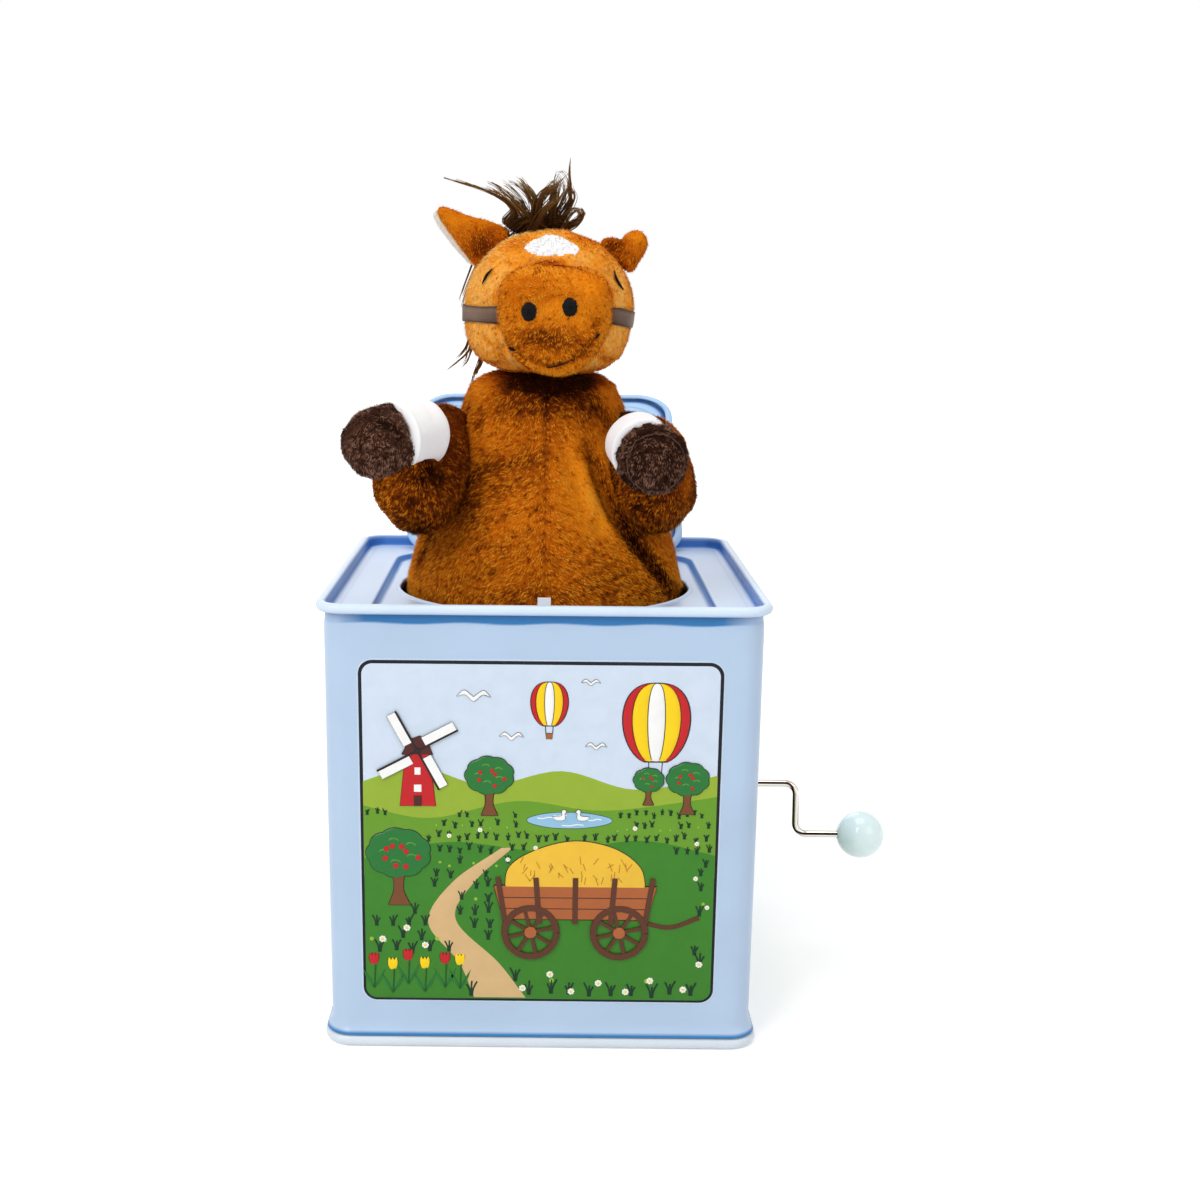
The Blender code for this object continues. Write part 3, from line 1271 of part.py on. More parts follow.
def make_plush_head(skin):
    item = soft_form(
        "plush_head", HEAD_CENTRE, HEAD_SIZE, HEAD_SQUARENESS, HEAD_COLUMNS, HEAD_ROWS, head_shaping
    )
    return finish(baked(cut(item, body_cutter())), skin)


def make_muzzle(head, skin):
    item = soft_form(
        "plush_muzzle", MUZZLE_CENTRE, MUZZLE_SIZE, MUZZLE_SQUARENESS, MUZZLE_COLUMNS, MUZZLE_ROWS,
        muzzle_shaping,
    )
    return finish(baked(cut(item, swollen(head, GAP), body_cutter())), skin)


def make_ear(name, base_shares, tip_shares, head, skin):
    base = HEAD_CENTRE + Vector(base_shares) * HEAD_HEIGHT
    tip = HEAD_CENTRE + Vector(tip_shares) * HEAD_HEIGHT
    size = Vector((EAR_WIDTH, EAR_THICKNESS, (tip - base).length / 2))
    item = soft_form(
        name, (base + tip) / 2, size, TUFT_SQUARENESS, TUFT_COLUMNS, EAR_ROWS, ear_shaping, along(base, tip)
    )
    return finish(baked(cut(item, swollen(head, GAP))), skin)


def make_forelock(head, skin):
    """A tuft of tapering locks on a low mound."""
    mound = soft_form(
        "forelock", FORELOCK_CENTRE, FORELOCK_SIZE, TUFT_SQUARENESS, TUFT_COLUMNS, FORELOCK_ROWS
    )
    height = FORELOCK_TOP_Z - FORELOCK_CENTRE.z
    locks = []
    radius_shares = [1.0, 0.9, 0.7, 0.45, 0.15]
    for foot_x_share, foot_y_share, reach_share, rise_share in FORELOCK_LOCK_SHARES:
        points = []
        for step in range(len(radius_shares)):
            share = step / (len(radius_shares) - 1)
            x = FORELOCK_SIZE.x * (foot_x_share + (reach_share - foot_x_share) * share ** 2)
            y = FORELOCK_SIZE.y * foot_y_share
            points.append(FORELOCK_CENTRE + Vector((x, y, height * rise_share * share)))
        locks.append(wire("lock", points, LOCK_RADIUS, 1, False, radius_shares))
    item = join(mound, *locks)
    return finish(baked(cut(item, swollen(head, GAP))), skin)


def make_mane(head, skin):
    """The mane falls from the poll down the left of the neck."""
    points = []
    for x_share, y_share, z_share in MANE_PATH_SHARES:
        offset = Vector((HEAD_SIZE.x * x_share, HEAD_SIZE.y * y_share, HEAD_SIZE.z * z_share))
        points.append(HEAD_CENTRE + offset)
    item = wire("mane", points, MANE_RADIUS, 2, False, MANE_RADIUS_SHARES)
    return finish(baked(cut(item, swollen(head, GAP))), skin)


def make_halter_strap(name, side, head, muzzle, mane, skin):
    """One cheek of the halter: a flat band on the head, sewn down at the muzzle's side."""
    band = swollen(head, GAP + HALTER_THICKNESS)
    band.name = name
    reach = HEAD_SIZE.x + OVERRUN
    half = HALTER_WIDTH / 2
    left, right = sorted((HEAD_CENTRE.x, HEAD_CENTRE.x + side * reach))
    low = (left, HEAD_CENTRE.y - reach, HALTER_Z - half)
    high = (right, HEAD_CENTRE.y + HEAD_SIZE.y / 2, HALTER_Z + half)
    slab = box("halter_slab", low, high)
    boolean(band, slab, "INTERSECT")
    band = baked(band)
    bpy.data.objects.remove(slab)
    cut(band, swollen(head, GAP), swollen(muzzle, GAP), swollen(mane, GAP))
    return finish(baked(band), skin)


def make_limb(name, end_shares, skins):
    """An arm, its white sock and its hoof, each shaped round its own axis and cut by the larger."""
    made = []
    rim = Vector((0, 0, TIN_HEIGHT))
    parts = ("arm", "sock", "hoof")
    size_shares = (ARM_SIZE_SHARES, SOCK_SIZE_SHARES, HOOF_SIZE_SHARES)
    for part, ends, sizes, squareness, skin in zip(parts, end_shares, size_shares, LIMB_SQUARENESS, skins):
        start, end = (rim + Vector(place) * PUPPET_RISE for place in ends)
        item = soft_form(
            part + "_" + name, (start + end) / 2, Vector(sizes) * PUPPET_RISE, squareness,
            LIMB_COLUMNS, LIMB_ROWS, None, along(start, end),
        )
        item = baked(cut(item, body_cutter(), *[swollen(other, GAP) for other in made]))
        made.append(finish(item, skin))
    return made


clear_scene()
PARTS = collection("jack_in_the_box")
CUTTERS = collection("cutters")

TIN_BLUE = material("tin_blue", (0.42, 0.60, 0.83), 0.32)
BEAD_BLUE = material("bead_blue", (0.62, 0.76, 0.90), 0.30)
LID_BLUE = material("lid_blue", (0.40, 0.62, 0.86), 0.32)
CHROME = material("chrome", (0.80, 0.81, 0.83), 0.12, 1.0)
KNOB_AQUA = material("knob_aqua", (0.52, 0.80, 0.82), 0.18)
STEEL = material("steel", (0.58, 0.59, 0.61), 0.35, 1.0)
BRASS = material("brass", (0.72, 0.55, 0.25), 0.30, 1.0)
NYLON = material("nylon", (0.88, 0.88, 0.86), 0.45)
PALE_PLASTIC = material("pale_plastic", (0.80, 0.86, 0.92), 0.40)
CHESTNUT = material("chestnut_plush", (0.45, 0.19, 0.05), 0.95)
DARK_BROWN = material("dark_brown_plush", (0.07, 0.04, 0.03), 0.95)
WHITE_PLUSH = material("white_plush", (0.85, 0.85, 0.84), 0.90)
HAIR = material("hair", (0.10, 0.05, 0.02), 0.80)
RIBBON = material("ribbon", (0.20, 0.15, 0.12), 0.70)

make_tin_body(TIN_BLUE)
make_top_plate(TIN_BLUE)
make_base_plate(BEAD_BLUE)
make_lid(LID_BLUE)
make_hinge_pin(STEEL)
make_hinge_lug("hinge_lug_left", -1, TIN_BLUE)
make_hinge_lug("hinge_lug_right", 1, TIN_BLUE)

make_crank_handle(CHROME)
make_crank_knob(KNOB_AQUA)
make_crank_bush(NYLON)
make_crank_collar(STEEL)
make_worm(NYLON)

make_movement_frame(STEEL)
make_worm_wheel(NYLON)
make_drum_arbor(STEEL)
make_music_drum(BRASS)
make_comb(STEEL)
make_arbor_clip(STEEL)
for number, comb_y in enumerate(comb_screw_places(), start=1):
    comb_seat = (ARBOR_X - COMB_THICKNESS / 2 - GAP, comb_y, comb_screw_z())
    make_screw("comb_screw_%d" % number, comb_seat, (1, 0, 0), STEEL)
for number, side in enumerate((-1, 1), start=1):
    frame_seat = (HALF + GAP, side * FRAME_SCREW_Y, frame_screw_z())
    make_screw("frame_screw_%d" % number, frame_seat, (-1, 0, 0), STEEL)

make_trip_cam(NYLON)
make_rock_shaft(STEEL)
make_latch_hook(PALE_PLASTIC)
make_trip_arm(PALE_PLASTIC)
make_hanger("hanger_left", HANGER_LEFT_X, STEEL)
make_hanger("hanger_right", HANGER_RIGHT_X, STEEL)
make_catch_spring(STEEL)

make_spring_seat(STEEL)
for rivet in range(RIVET_COUNT):
    make_seat_rivet("seat_rivet_%d" % (rivet + 1), rivet, STEEL)
make_hem_ring(STEEL)
make_pop_spring(STEEL)
make_head_disc(NYLON)

make_plush_body(CHESTNUT)
plush_head = make_plush_head(CHESTNUT)
plush_muzzle = make_muzzle(plush_head, CHESTNUT)
make_ear("ear_left", LEFT_EAR_BASE_SHARES, LEFT_EAR_TIP_SHARES, plush_head, CHESTNUT)
make_ear("ear_right", RIGHT_EAR_BASE_SHARES, RIGHT_EAR_TIP_SHARES, plush_head, CHESTNUT)
make_forelock(plush_head, HAIR)
plush_mane = make_mane(plush_head, HAIR)
make_halter_strap("halter_strap_left", -1, plush_head, plush_muzzle, plush_mane, RIBBON)
make_halter_strap("halter_strap_right", 1, plush_head, plush_muzzle, plush_mane, RIBBON)
make_limb("left", LEFT_LIMB_SHARES, (CHESTNUT, WHITE_PLUSH, DARK_BROWN))
make_limb("right", RIGHT_LIMB_SHARES, (CHESTNUT, WHITE_PLUSH, DARK_BROWN))
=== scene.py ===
"""Look of the jack-in-the-box: printed tin, plush horse, chrome crank, seen as in the photograph."""
import json
import math

import bmesh
import bpy
import numpy as np
from mathutils import Matrix, Vector, noise
from mathutils.bvhtree import BVHTree

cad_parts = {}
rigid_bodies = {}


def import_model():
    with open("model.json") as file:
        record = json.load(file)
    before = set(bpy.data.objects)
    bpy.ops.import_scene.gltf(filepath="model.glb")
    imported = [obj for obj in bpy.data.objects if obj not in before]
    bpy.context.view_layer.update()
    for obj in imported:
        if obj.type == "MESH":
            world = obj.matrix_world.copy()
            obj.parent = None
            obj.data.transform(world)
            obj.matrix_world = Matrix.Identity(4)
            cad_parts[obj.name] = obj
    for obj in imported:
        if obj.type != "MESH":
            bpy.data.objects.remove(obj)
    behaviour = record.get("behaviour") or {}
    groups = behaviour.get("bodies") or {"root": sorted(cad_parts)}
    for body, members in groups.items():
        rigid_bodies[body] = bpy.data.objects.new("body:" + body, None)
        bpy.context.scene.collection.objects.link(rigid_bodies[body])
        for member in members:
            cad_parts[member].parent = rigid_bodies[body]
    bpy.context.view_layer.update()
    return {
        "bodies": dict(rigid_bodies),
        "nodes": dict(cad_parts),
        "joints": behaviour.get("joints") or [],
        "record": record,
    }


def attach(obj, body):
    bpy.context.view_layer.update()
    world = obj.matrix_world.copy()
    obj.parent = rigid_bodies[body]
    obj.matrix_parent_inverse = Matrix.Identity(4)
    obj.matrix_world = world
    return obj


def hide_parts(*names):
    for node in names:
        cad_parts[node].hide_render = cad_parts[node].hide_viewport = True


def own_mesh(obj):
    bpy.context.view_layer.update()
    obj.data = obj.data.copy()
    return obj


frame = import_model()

MM = 0.001


# Camera, solved on the tin's corners in the photograph

PHOTO_SIZE = 1200
FOCAL_PIXELS = 1599.9
CENTRE_PIXEL = (533.6, 670.4)
CAMERA_PLACE = Vector((-0.242, -559.943, 248.174)) * MM
CAMERA_YAW, CAMERA_PITCH, CAMERA_ROLL = -0.0059, 0.2386, -0.0077
SENSOR_WIDTH = 36


def camera_axes():
    """The camera's right, down and ahead."""
    yaw, pitch, roll = CAMERA_YAW, CAMERA_PITCH, CAMERA_ROLL
    ahead = Vector((math.sin(yaw) * math.cos(pitch), math.cos(yaw) * math.cos(pitch), -math.sin(pitch)))
    level = Vector((math.cos(yaw), -math.sin(yaw), 0))
    down = ahead.cross(level)
    right = math.cos(roll) * level + math.sin(roll) * down
    return right, math.cos(roll) * down - math.sin(roll) * level, ahead


RIGHT, DOWN, AHEAD = camera_axes()


def new_object(name, data):
    made = bpy.data.objects.new(name, data)
    bpy.context.scene.collection.objects.link(made)
    return made


def make_camera():
    data = bpy.data.cameras.new("camera")
    data.sensor_width = SENSOR_WIDTH
    data.lens = SENSOR_WIDTH * FOCAL_PIXELS / PHOTO_SIZE
    data.shift_x = 0.5 - CENTRE_PIXEL[0] / PHOTO_SIZE
    data.shift_y = CENTRE_PIXEL[1] / PHOTO_SIZE - 0.5
    data.clip_start = 0.01
    camera = new_object("camera", data)
    camera.matrix_world = (
        Matrix.Translation(CAMERA_PLACE) @ Matrix((RIGHT, -DOWN, -AHEAD)).transposed().to_4x4()
    )
    bpy.context.scene.camera = camera


def sight(pixel):
    """The direction from the camera through a pixel of the photograph."""
    x, y = ((pixel[axis] - CENTRE_PIXEL[axis]) / FOCAL_PIXELS for axis in (0, 1))
    return (AHEAD + x * RIGHT + y * DOWN).normalized()


def at_depth(pixel, y):
    """The point behind a pixel where Y is this many millimetres."""
    ray = sight(pixel)
    return CAMERA_PLACE + ray * ((y * MM - CAMERA_PLACE.y) / ray.y)


def pixels_of(places):
    """Where places in the model fall in the photograph."""
    away = places - np.array(CAMERA_PLACE)
    depth = away @ np.array(AHEAD)
    across = away @ np.array(RIGHT) / depth * FOCAL_PIXELS + CENTRE_PIXEL[0]
    down = away @ np.array(DOWN) / depth * FOCAL_PIXELS + CENTRE_PIXEL[1]
    return across, down


# Small sums

def limited(value, low=0.0, high=1.0):
    return max(low, min(high, value))


def between(start, end, share):
    return start + (end - start) * share


def round_turn(steps):
    """The angles of equal steps round a circle."""
    return [2 * math.pi * step / steps for step in range(steps)]


def arc(start, sweep, steps):
    """The cosine and sine of each step along an arc, given in degrees."""
    angles = [math.radians(start + sweep * step / steps) for step in range(steps + 1)]
    return [(math.cos(angle), math.sin(angle)) for angle in angles]


# Materials

def colour(red, green, blue):
    """A linear colour from the 0 to 255 values of a screen."""
    parts = [value / 255 for value in (red, green, blue)]
    return tuple(part / 12.92 if part <= 0.04045 else ((part + 0.055) / 1.055) ** 2.4 for part in parts)


def screen_stops(*stops):
    """A ramp's stops, each a place and the 0 to 255 values of a screen."""
    return [(place, colour(*shade)) for place, shade in stops]


def mottled(shade, low, high=1.0, edge=0.35):
    """A ramp's stops between a darker and a lighter share of one colour."""
    dark, light = tuple(part * low for part in shade), tuple(min(1, part * high) for part in shade)
    return [(edge, dark), (1 - edge, light)]


def set_inputs(node, values):
    for socket, value in values.items():
        node.inputs[socket].default_value = value


class Nodes:
    """A node tree that is joined step by step."""

    def __init__(self, tree):
        self.nodes, self.links = tree.nodes, tree.links

    def add(self, kind, values={}, sources={}, **settings):
        node = self.nodes.new("ShaderNode" + kind)
        for name, value in settings.items():
            setattr(node, name, value)
        set_inputs(node, values)
        for socket, source in sources.items():
            self.links.new(source, node.inputs[socket])
        return node

    def sum(self, operation, *parts):
        """A sum of numbers and sockets."""
        numbers = {index: part for index, part in enumerate(parts) if isinstance(part, float)}
        sockets = {index: part for index, part in enumerate(parts) if not isinstance(part, float)}
        return self.add("Math", numbers, sockets, operation=operation).outputs["Value"]

    def noise(self, scale, detail, stretch=None):
        place = self.add("TexCoord").outputs["Object"]
        if stretch:
            place = self.add("Mapping", {"Scale": stretch}, {"Vector": place}).outputs["Vector"]
        return self.add("TexNoise", {"Scale": scale, "Detail": detail}, {"Vector": place}).outputs["Fac"]

    def layer(self, name):
        """The value that a mesh carries in one of its colour layers."""
        shade = self.add("VertexColor", layer_name=name).outputs["Color"]
        return self.add("SeparateColor", {}, {"Color": shade}).outputs["Red"]

    def ramp(self, source, stops):
        made = self.add("ValToRGB", {}, {"Fac": source})
        band = made.color_ramp
        while len(band.elements) < len(stops):
            band.elements.new(0.5)
        for element, (place, shade) in zip(band.elements, stops):
            element.position = place
            element.color = (*shade, 1)
        return made.outputs["Color"]


class Skin(Nodes):
    """A material that starts from its roughness and other values of the shader."""

    def __init__(self, name, rough, **values):
        self.material = bpy.data.materials.new(name)
        self.material.use_nodes = True
        super().__init__(self.material.node_tree)
        self.shader = self.nodes["Principled BSDF"]
        set_inputs(self.shader, {"Roughness": rough})
        set_inputs(self.shader, {SHADER_WORDS[word]: value for word, value in values.items()})

    def paint(self, source):
        self.links.new(source, self.shader.inputs["Base Color"])

    def relief(self, source, strength, distance):
        bump = self.add("Bump", {"Strength": strength, "Distance": distance}, {"Height": source})
        self.links.new(bump.outputs["Normal"], self.shader.inputs["Normal"])


SHADER_WORDS = {
    "metallic": "Metallic", "gloss": "Specular IOR Level", "coat": "Coat Weight",
    "coat_rough": "Coat Roughness", "sheen": "Sheen Weight", "sheen_rough": "Sheen Roughness",
    "sheen_tint": "Sheen Tint",
}


def finish_of(name, rough, stops, grain, relief=None, **values):
    """A finish with a fine variation of its colour, and a relief of (texture, strength, distance)."""
    skin = Skin(name, rough, **values)
    skin.paint(skin.ramp(skin.noise(*grain), stops))
    if relief:
        texture, strength, distance = relief
        skin.relief(skin.noise(*texture), strength, distance)
    return skin.material


def enamel(name, shade, painted_shade_colour, rough):
    """Printed tinplate: an even coat with a fine orange peel, mixed towards a painted shade colour where its
    "tone" is low, under rims and in grooves and creases.
    """
    skin = Skin(name, rough, gloss=0.35, coat=0.1, coat_rough=0.15)
    even = skin.ramp(skin.noise(45, 4), mottled(shade, 0.97, 1.03, 0.3))
    # A low tone paints shade: the painted shade colour stands in for shade under rims and in grooves
    mix = skin.add("Mix", {}, {}, data_type="RGBA")
    mix.inputs["A"].default_value = (*painted_shade_colour, 1)
    skin.links.new(even, mix.inputs["B"])
    skin.links.new(skin.layer("tone"), mix.inputs["Factor"])
    skin.paint(mix.outputs["Result"])
    skin.relief(skin.noise(900, 2), 0.06, 0.0002)
    return skin.material


def metal(name, shade, rough, grain):
    relief = ((1500, 2, (1, 1, 12)), grain, 0.0001)
    return finish_of(name, rough, mottled(shade, 0.94), (160, 3, (1, 1, 6)), relief, metallic=1.0)


def chrome(name):
    """Bright plate whose colour carries painted reflections: its "tone" lays dark streaks and greys along the
    wire.
    """
    skin = Skin(name, 0.12, metallic=1.0)
    skin.paint(skin.ramp(skin.layer("tone"), screen_stops(
        (0.0, (16, 5, 6)), (0.35, (84, 58, 52)), (0.6, (160, 146, 132)), (0.85, (202, 196, 184)),
        (1.0, (228, 226, 220)),
    )))
    skin.relief(skin.noise(900, 2), 0.02, 0.0001)
    return skin.material


def plastic(name, shade, rough, peel=0.03, **values):
    return finish_of(name, rough, mottled(shade, 0.965), (60, 2), ((700, 2), peel, 0.0002), **values)


def print_ink(name, shade):
    """A printed colour on the tin, with a faint variation of the ink."""
    stops = mottled(shade, 0.97, 1.03, 0.3)
    return finish_of(name, 0.32, stops, (220, 4), gloss=0.2, coat=0.08, coat_rough=0.15)


def plush(name, sheen_tint, stops):
    """Short pile: its "pile" colour runs from dark at the root, painted shade between the fibres, to bright
    at the tip.
    """
    skin = Skin(name, 0.85, gloss=0.03, sheen=0.05, sheen_rough=0.4, sheen_tint=(*sheen_tint, 1))
    lower = skin.sum("SUBTRACT", skin.layer("pile"), 0.11)
    skin.paint(skin.ramp(skin.sum("MULTIPLY_ADD", skin.noise(420, 3), 0.22, lower), stops))
    skin.relief(skin.noise(1400, 3), 0.3, 0.0006)
    return skin.material


def toned(name, rough, gloss, grain, stretch, strength, *stops):
    """A cloth or thread whose colour follows its "pile" value, with a weave of its own."""
    skin = Skin(name, rough, gloss=gloss)
    weave = skin.noise(grain, 2, stretch)
    value = skin.sum("MULTIPLY_ADD", weave, 0.16, skin.layer("pile"))
    skin.paint(skin.ramp(value, screen_stops(*stops)))
    skin.relief(weave, strength, 0.0003)
    return skin.material


# The second colour of each tin enamel is its painted shade, mixed in where the tone is low
TIN = enamel("tin_print", colour(184, 206, 232), colour(16, 118, 184), 0.36)
# tin_top is a paler copy of the tin's blue: its extra lightness is painted light on the upward top and a
# painted highlight on the rolled rim
TIN_TOP = enamel("tin_top", colour(219, 235, 252), colour(0, 106, 196), 0.34)
BEAD = enamel("tin_bead", colour(222, 231, 240), colour(40, 110, 175), 0.32)
LID_FACE = enamel("lid_face", colour(172, 206, 240), colour(30, 88, 150), 0.34)
STEEL = metal("steel", (0.56, 0.57, 0.59), 0.32, 0.1)
BRASS = metal("brass", (0.78, 0.57, 0.24), 0.28, 0.05)
CHROME = chrome("chrome_wire")
NYLON = plastic("nylon", colour(228, 228, 222), 0.45)
LUG = plastic("hinge_lug_blue", colour(186, 210, 238), 0.36)
PALE = plastic("pale_catch", colour(249, 252, 254), 0.35)
AQUA = plastic("aqua_knob", colour(236, 255, 255), 0.14, 0.01, coat=0.3)
COAT = plush("coat_pile", (1.0, 0.5, 0.04), screen_stops(
    (0.0, (34, 8, 2)), (0.22, (104, 44, 7)), (0.45, (190, 94, 9)), (0.7, (238, 138, 18)),
    (1.0, (246, 168, 48)),
))
# A lighter copy of the coat's pile for the head: its extra lightness is painted light
COAT_PAINTED_LIT = plush("coat_pile_painted_lit", (1.0, 0.5, 0.04), screen_stops(
    (0.0, (40, 10, 2)), (0.2, (124, 55, 8)), (0.42, (206, 106, 14)), (0.62, (240, 148, 32)),
    (0.8, (252, 180, 76)), (1.0, (255, 214, 130)),
))
HOOF = plush("hoof_pile", (0.8, 0.6, 0.5), screen_stops(
    (0.0, (14, 6, 3)), (0.3, (54, 30, 20)), (0.55, (102, 66, 50)), (1.0, (176, 134, 112)),
))
BLAZE = plush("blaze_pile", (1, 1, 1), [(0.0, (0.90,) * 3), (0.5, (0.96,) * 3), (1.0, (0.98,) * 3)])
LINING = plush("ear_lining", (1, 1, 1), screen_stops(
    (0.0, (176, 160, 140)), (0.5, (232, 224, 210)), (1.0, (250, 247, 240)),
))
SOCK = finish_of(
    "sock_cloth", 0.85, screen_stops((0.3, (249, 248, 249)), (0.7, (254, 253, 254))), (90, 3),
    ((2600, 2), 0.3, 0.0003), sheen=0.1, gloss=0.1,
)
THREAD = finish_of(
    "black_thread", 0.7, [(0.35, (0.001, 0.001, 0.001)), (0.65, (0.006, 0.006, 0.0065))], (1800, 2),
    ((1800, 2), 0.9, 0.0004), gloss=0.12,
)
RIBBON = toned(
    "ribbon_cloth", 0.6, 0.2, 900, (1, 1, 6), 0.3,
    (0.1, (42, 28, 22)), (0.55, (86, 64, 52)), (1.0, (128, 104, 90)),
)
HAIR = toned(
    "hair_strand", 0.5, 0.05, 300, None, 0.1,
    (0.05, (34, 16, 4)), (0.4, (86, 52, 18)), (0.75, (130, 93, 48)), (1.0, (178, 144, 98)),
)
PIPING = toned("hoof_seam", 0.8, 0.2, 1500, None, 0.4, (0.0, (52, 31, 23)), (1.0, (106, 76, 63)))


# Mesh building

def add_piece(name, mesh, skin, body, node=None, squash=None):
    """A piece on a body, the node that it stands for, its filling and (axis, anchor, keep)."""
    piece = new_object(name, mesh)
    mesh.materials.append(skin)
    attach(piece, body)
    if node:
        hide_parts(node)
    if squash:
        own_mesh(piece)
    return piece


def mesh_of(name, shape, sharp=None, outward=True):
    """A smooth mesh from corners and faces, which turn outward, with its edges over this angle left sharp."""
    corners, faces = shape
    mesh = bpy.data.meshes.new(name)
    mesh.from_pydata([tuple(corner) for corner in corners], [], faces)
    if outward:
        solid = bmesh.new()
        solid.from_mesh(mesh)
        bmesh.ops.recalc_face_normals(solid, faces=solid.faces)
        solid.to_mesh(mesh)
        solid.free()
    mesh.shade_smooth()
    if sharp:
        mesh.set_sharp_from_angle(angle=math.radians(sharp))
    return mesh


def set_layer(mesh, name, values):
    """Writes a value from 0 to 1 for each corner into one of the mesh's colour layers."""
    layer = mesh.color_attributes.new(name, "FLOAT_COLOR", "POINT")
    shades = np.ones((len(mesh.vertices), 4))
    shades[:, :3] = np.clip(np.asarray(values, float), 0, 1)[:, None]
    layer.data.foreach_set("color", shades.ravel())


def thicken(piece, thickness):
    sheet = piece.modifiers.new("Sheet", "SOLIDIFY")
    sheet.thickness = thickness * MM
    sheet.offset = -1


def rounded_rectangle(half_x, half_y, corner, steps, straights=1):
    """Points round a rectangle with round corners, each straight side cut in so many parts."""
    points = []
    for quarter, (side_x, side_y) in enumerate(((1, 1), (-1, 1), (-1, -1), (1, -1))):
        x, y = side_x * (half_x - corner), side_y * (half_y - corner)
        points += [(x + corner * cosine, y + corner * sine) for cosine, sine in arc(90 * quarter, 90, steps)]
    dense = []
    for index, point in enumerate(points):
        dense.append(point)
        if index % (steps + 1) == steps:
            after = points[(index + 1) % len(points)]
            for step in range(1, straights):
                dense.append(tuple(between(a, b, step / straights) for a, b in zip(point, after)))
    return dense


def loft(rings, close_round=True, close_along=False, caps=()):
    """Corners and faces of a skin through rings of equal length, with a face over each ring named in caps."""
    count = len(rings[0])
    corners = [corner for ring in rings for corner in ring]
    faces = []
    for row in range(len(rings) if close_along else len(rings) - 1):
        here, following = row * count, (row + 1) % len(rings) * count
        for column in range(count if close_round else count - 1):
            after = (column + 1) % count
            faces.append((here + column, here + after, following + after, following + column))
    for cap in caps:
        start = cap % len(rings) * count
        faces.append(tuple(range(start, start + count)))
    return corners, faces


BOTH_ENDS = (0, -1)


def level_rings(levels, steps, straights=1):
    """Rings in millimetres from (half x, half y, corner, centre y, z) rows."""
    rings = []
    for half_x, half_y, corner, centre_y, z in levels:
        outline = rounded_rectangle(half_x, half_y, corner, steps, straights)
        rings.append([Vector((x, y + centre_y, z)) * MM for x, y in outline])
    return rings


def frames_along(points):
    """A (point, side, up) for each point of a path, turned as little as possible from one to the next."""
    made = []
    up = Vector((0, 0, 1))
    for index, point in enumerate(points):
        ahead = (points[min(len(points) - 1, index + 1)] - points[max(0, index - 1)]).normalized()
        if abs(ahead.dot(up)) > 0.98 and index == 0:
            up = Vector((0, -1, 0))
        side = ahead.cross(up).normalized()
        up = side.cross(ahead).normalized()
        made.append((point, side, up))
    return made


def smooth_path(points, steps):
    """A Catmull-Rom path through the points."""
    points = [Vector(point) for point in points]
    padded = [2 * points[0] - points[1]] + points + [2 * points[-1] - points[-2]]
    made = []
    for index in range(1, len(padded) - 2):
        a, b, c, d = padded[index - 1:index + 3]
        for step in range(steps):
            t = step / steps
            bend = (2 * a - 5 * b + 4 * c - d) * t * t + (3 * b - a - 3 * c + d) * t ** 3
            made.append(0.5 * (2 * b + (c - a) * t + bend))
    made.append(points[-1])
    return made


def flat_path(points, steps=8):
    """A smooth path through points of a panel or of the photograph."""
    return [(p.x, p.y) for p in smooth_path([(x, y, 0) for x, y in points], steps)]


def ring_round(point, side, up, radius, sides):
    return [point + (side * math.cos(turn) + up * math.sin(turn)) * radius for turn in round_turn(sides)]


def tube(points, radii, sides):
    """Corners and faces of a round tube along a path."""
    frames = frames_along(points)
    return loft([ring_round(*frame, radius, sides) for frame, radius in zip(frames, radii)], caps=BOTH_ENDS)


def merged(parts):
    """One list of corners and one of faces from several."""
    corners, faces = [], []
    for part_corners, part_faces in parts:
        start = len(corners)
        corners += list(part_corners)
        faces += [tuple(index + start for index in face) for face in part_faces]
    return corners, faces


def surface_tree(*meshes):
    """What rays and nearest points are looked up on."""
    return BVHTree.FromPolygons(*merged([
        ([vertex.co.copy() for vertex in mesh.vertices], [face.vertices for face in mesh.polygons])
        for mesh in meshes
    ]))


def inside_outline(pixel, outline):
    x, y = pixel
    inside = False
    for (x1, y1), (x2, y2) in zip(outline[-1:] + outline[:-1], outline):
        if (y1 > y) != (y2 > y) and x < (x2 - x1) * (y - y1) / (y2 - y1) + x1:
            inside = not inside
    return inside


# Pile: fibres that stand on a skin and lean the way it is brushed

# The noise that brushes the pile starts from the clock unless it is seeded
noise.seed_set(1)


def mesh_arrays(mesh):
    """The corners and their normals, in rows of three."""
    made = []
    for attribute in ("co", "normal"):
        values = np.empty(len(mesh.vertices) * 3)
        mesh.vertices.foreach_get(attribute, values)
        made.append(values.reshape(-1, 3))
    return made


def noise_at(places, scale, seed=0.0):
    """Smooth noise from -1 to 1 at each place."""
    shift = Vector((seed, seed * 1.7, seed * 0.6))
    return np.array([noise.noise(Vector(place) * scale + shift) for place in places])


def ripple(place, coarse, coarse_lift, fine, fine_lift):
    """A gentle swell of stuffing, of a coarse and a fine noise."""
    return noise.noise(place * coarse) * coarse_lift + noise.noise(place * fine) * fine_lift


def unit_rows(rows):
    return rows / (np.linalg.norm(rows, axis=1, keepdims=True) + 1e-9)


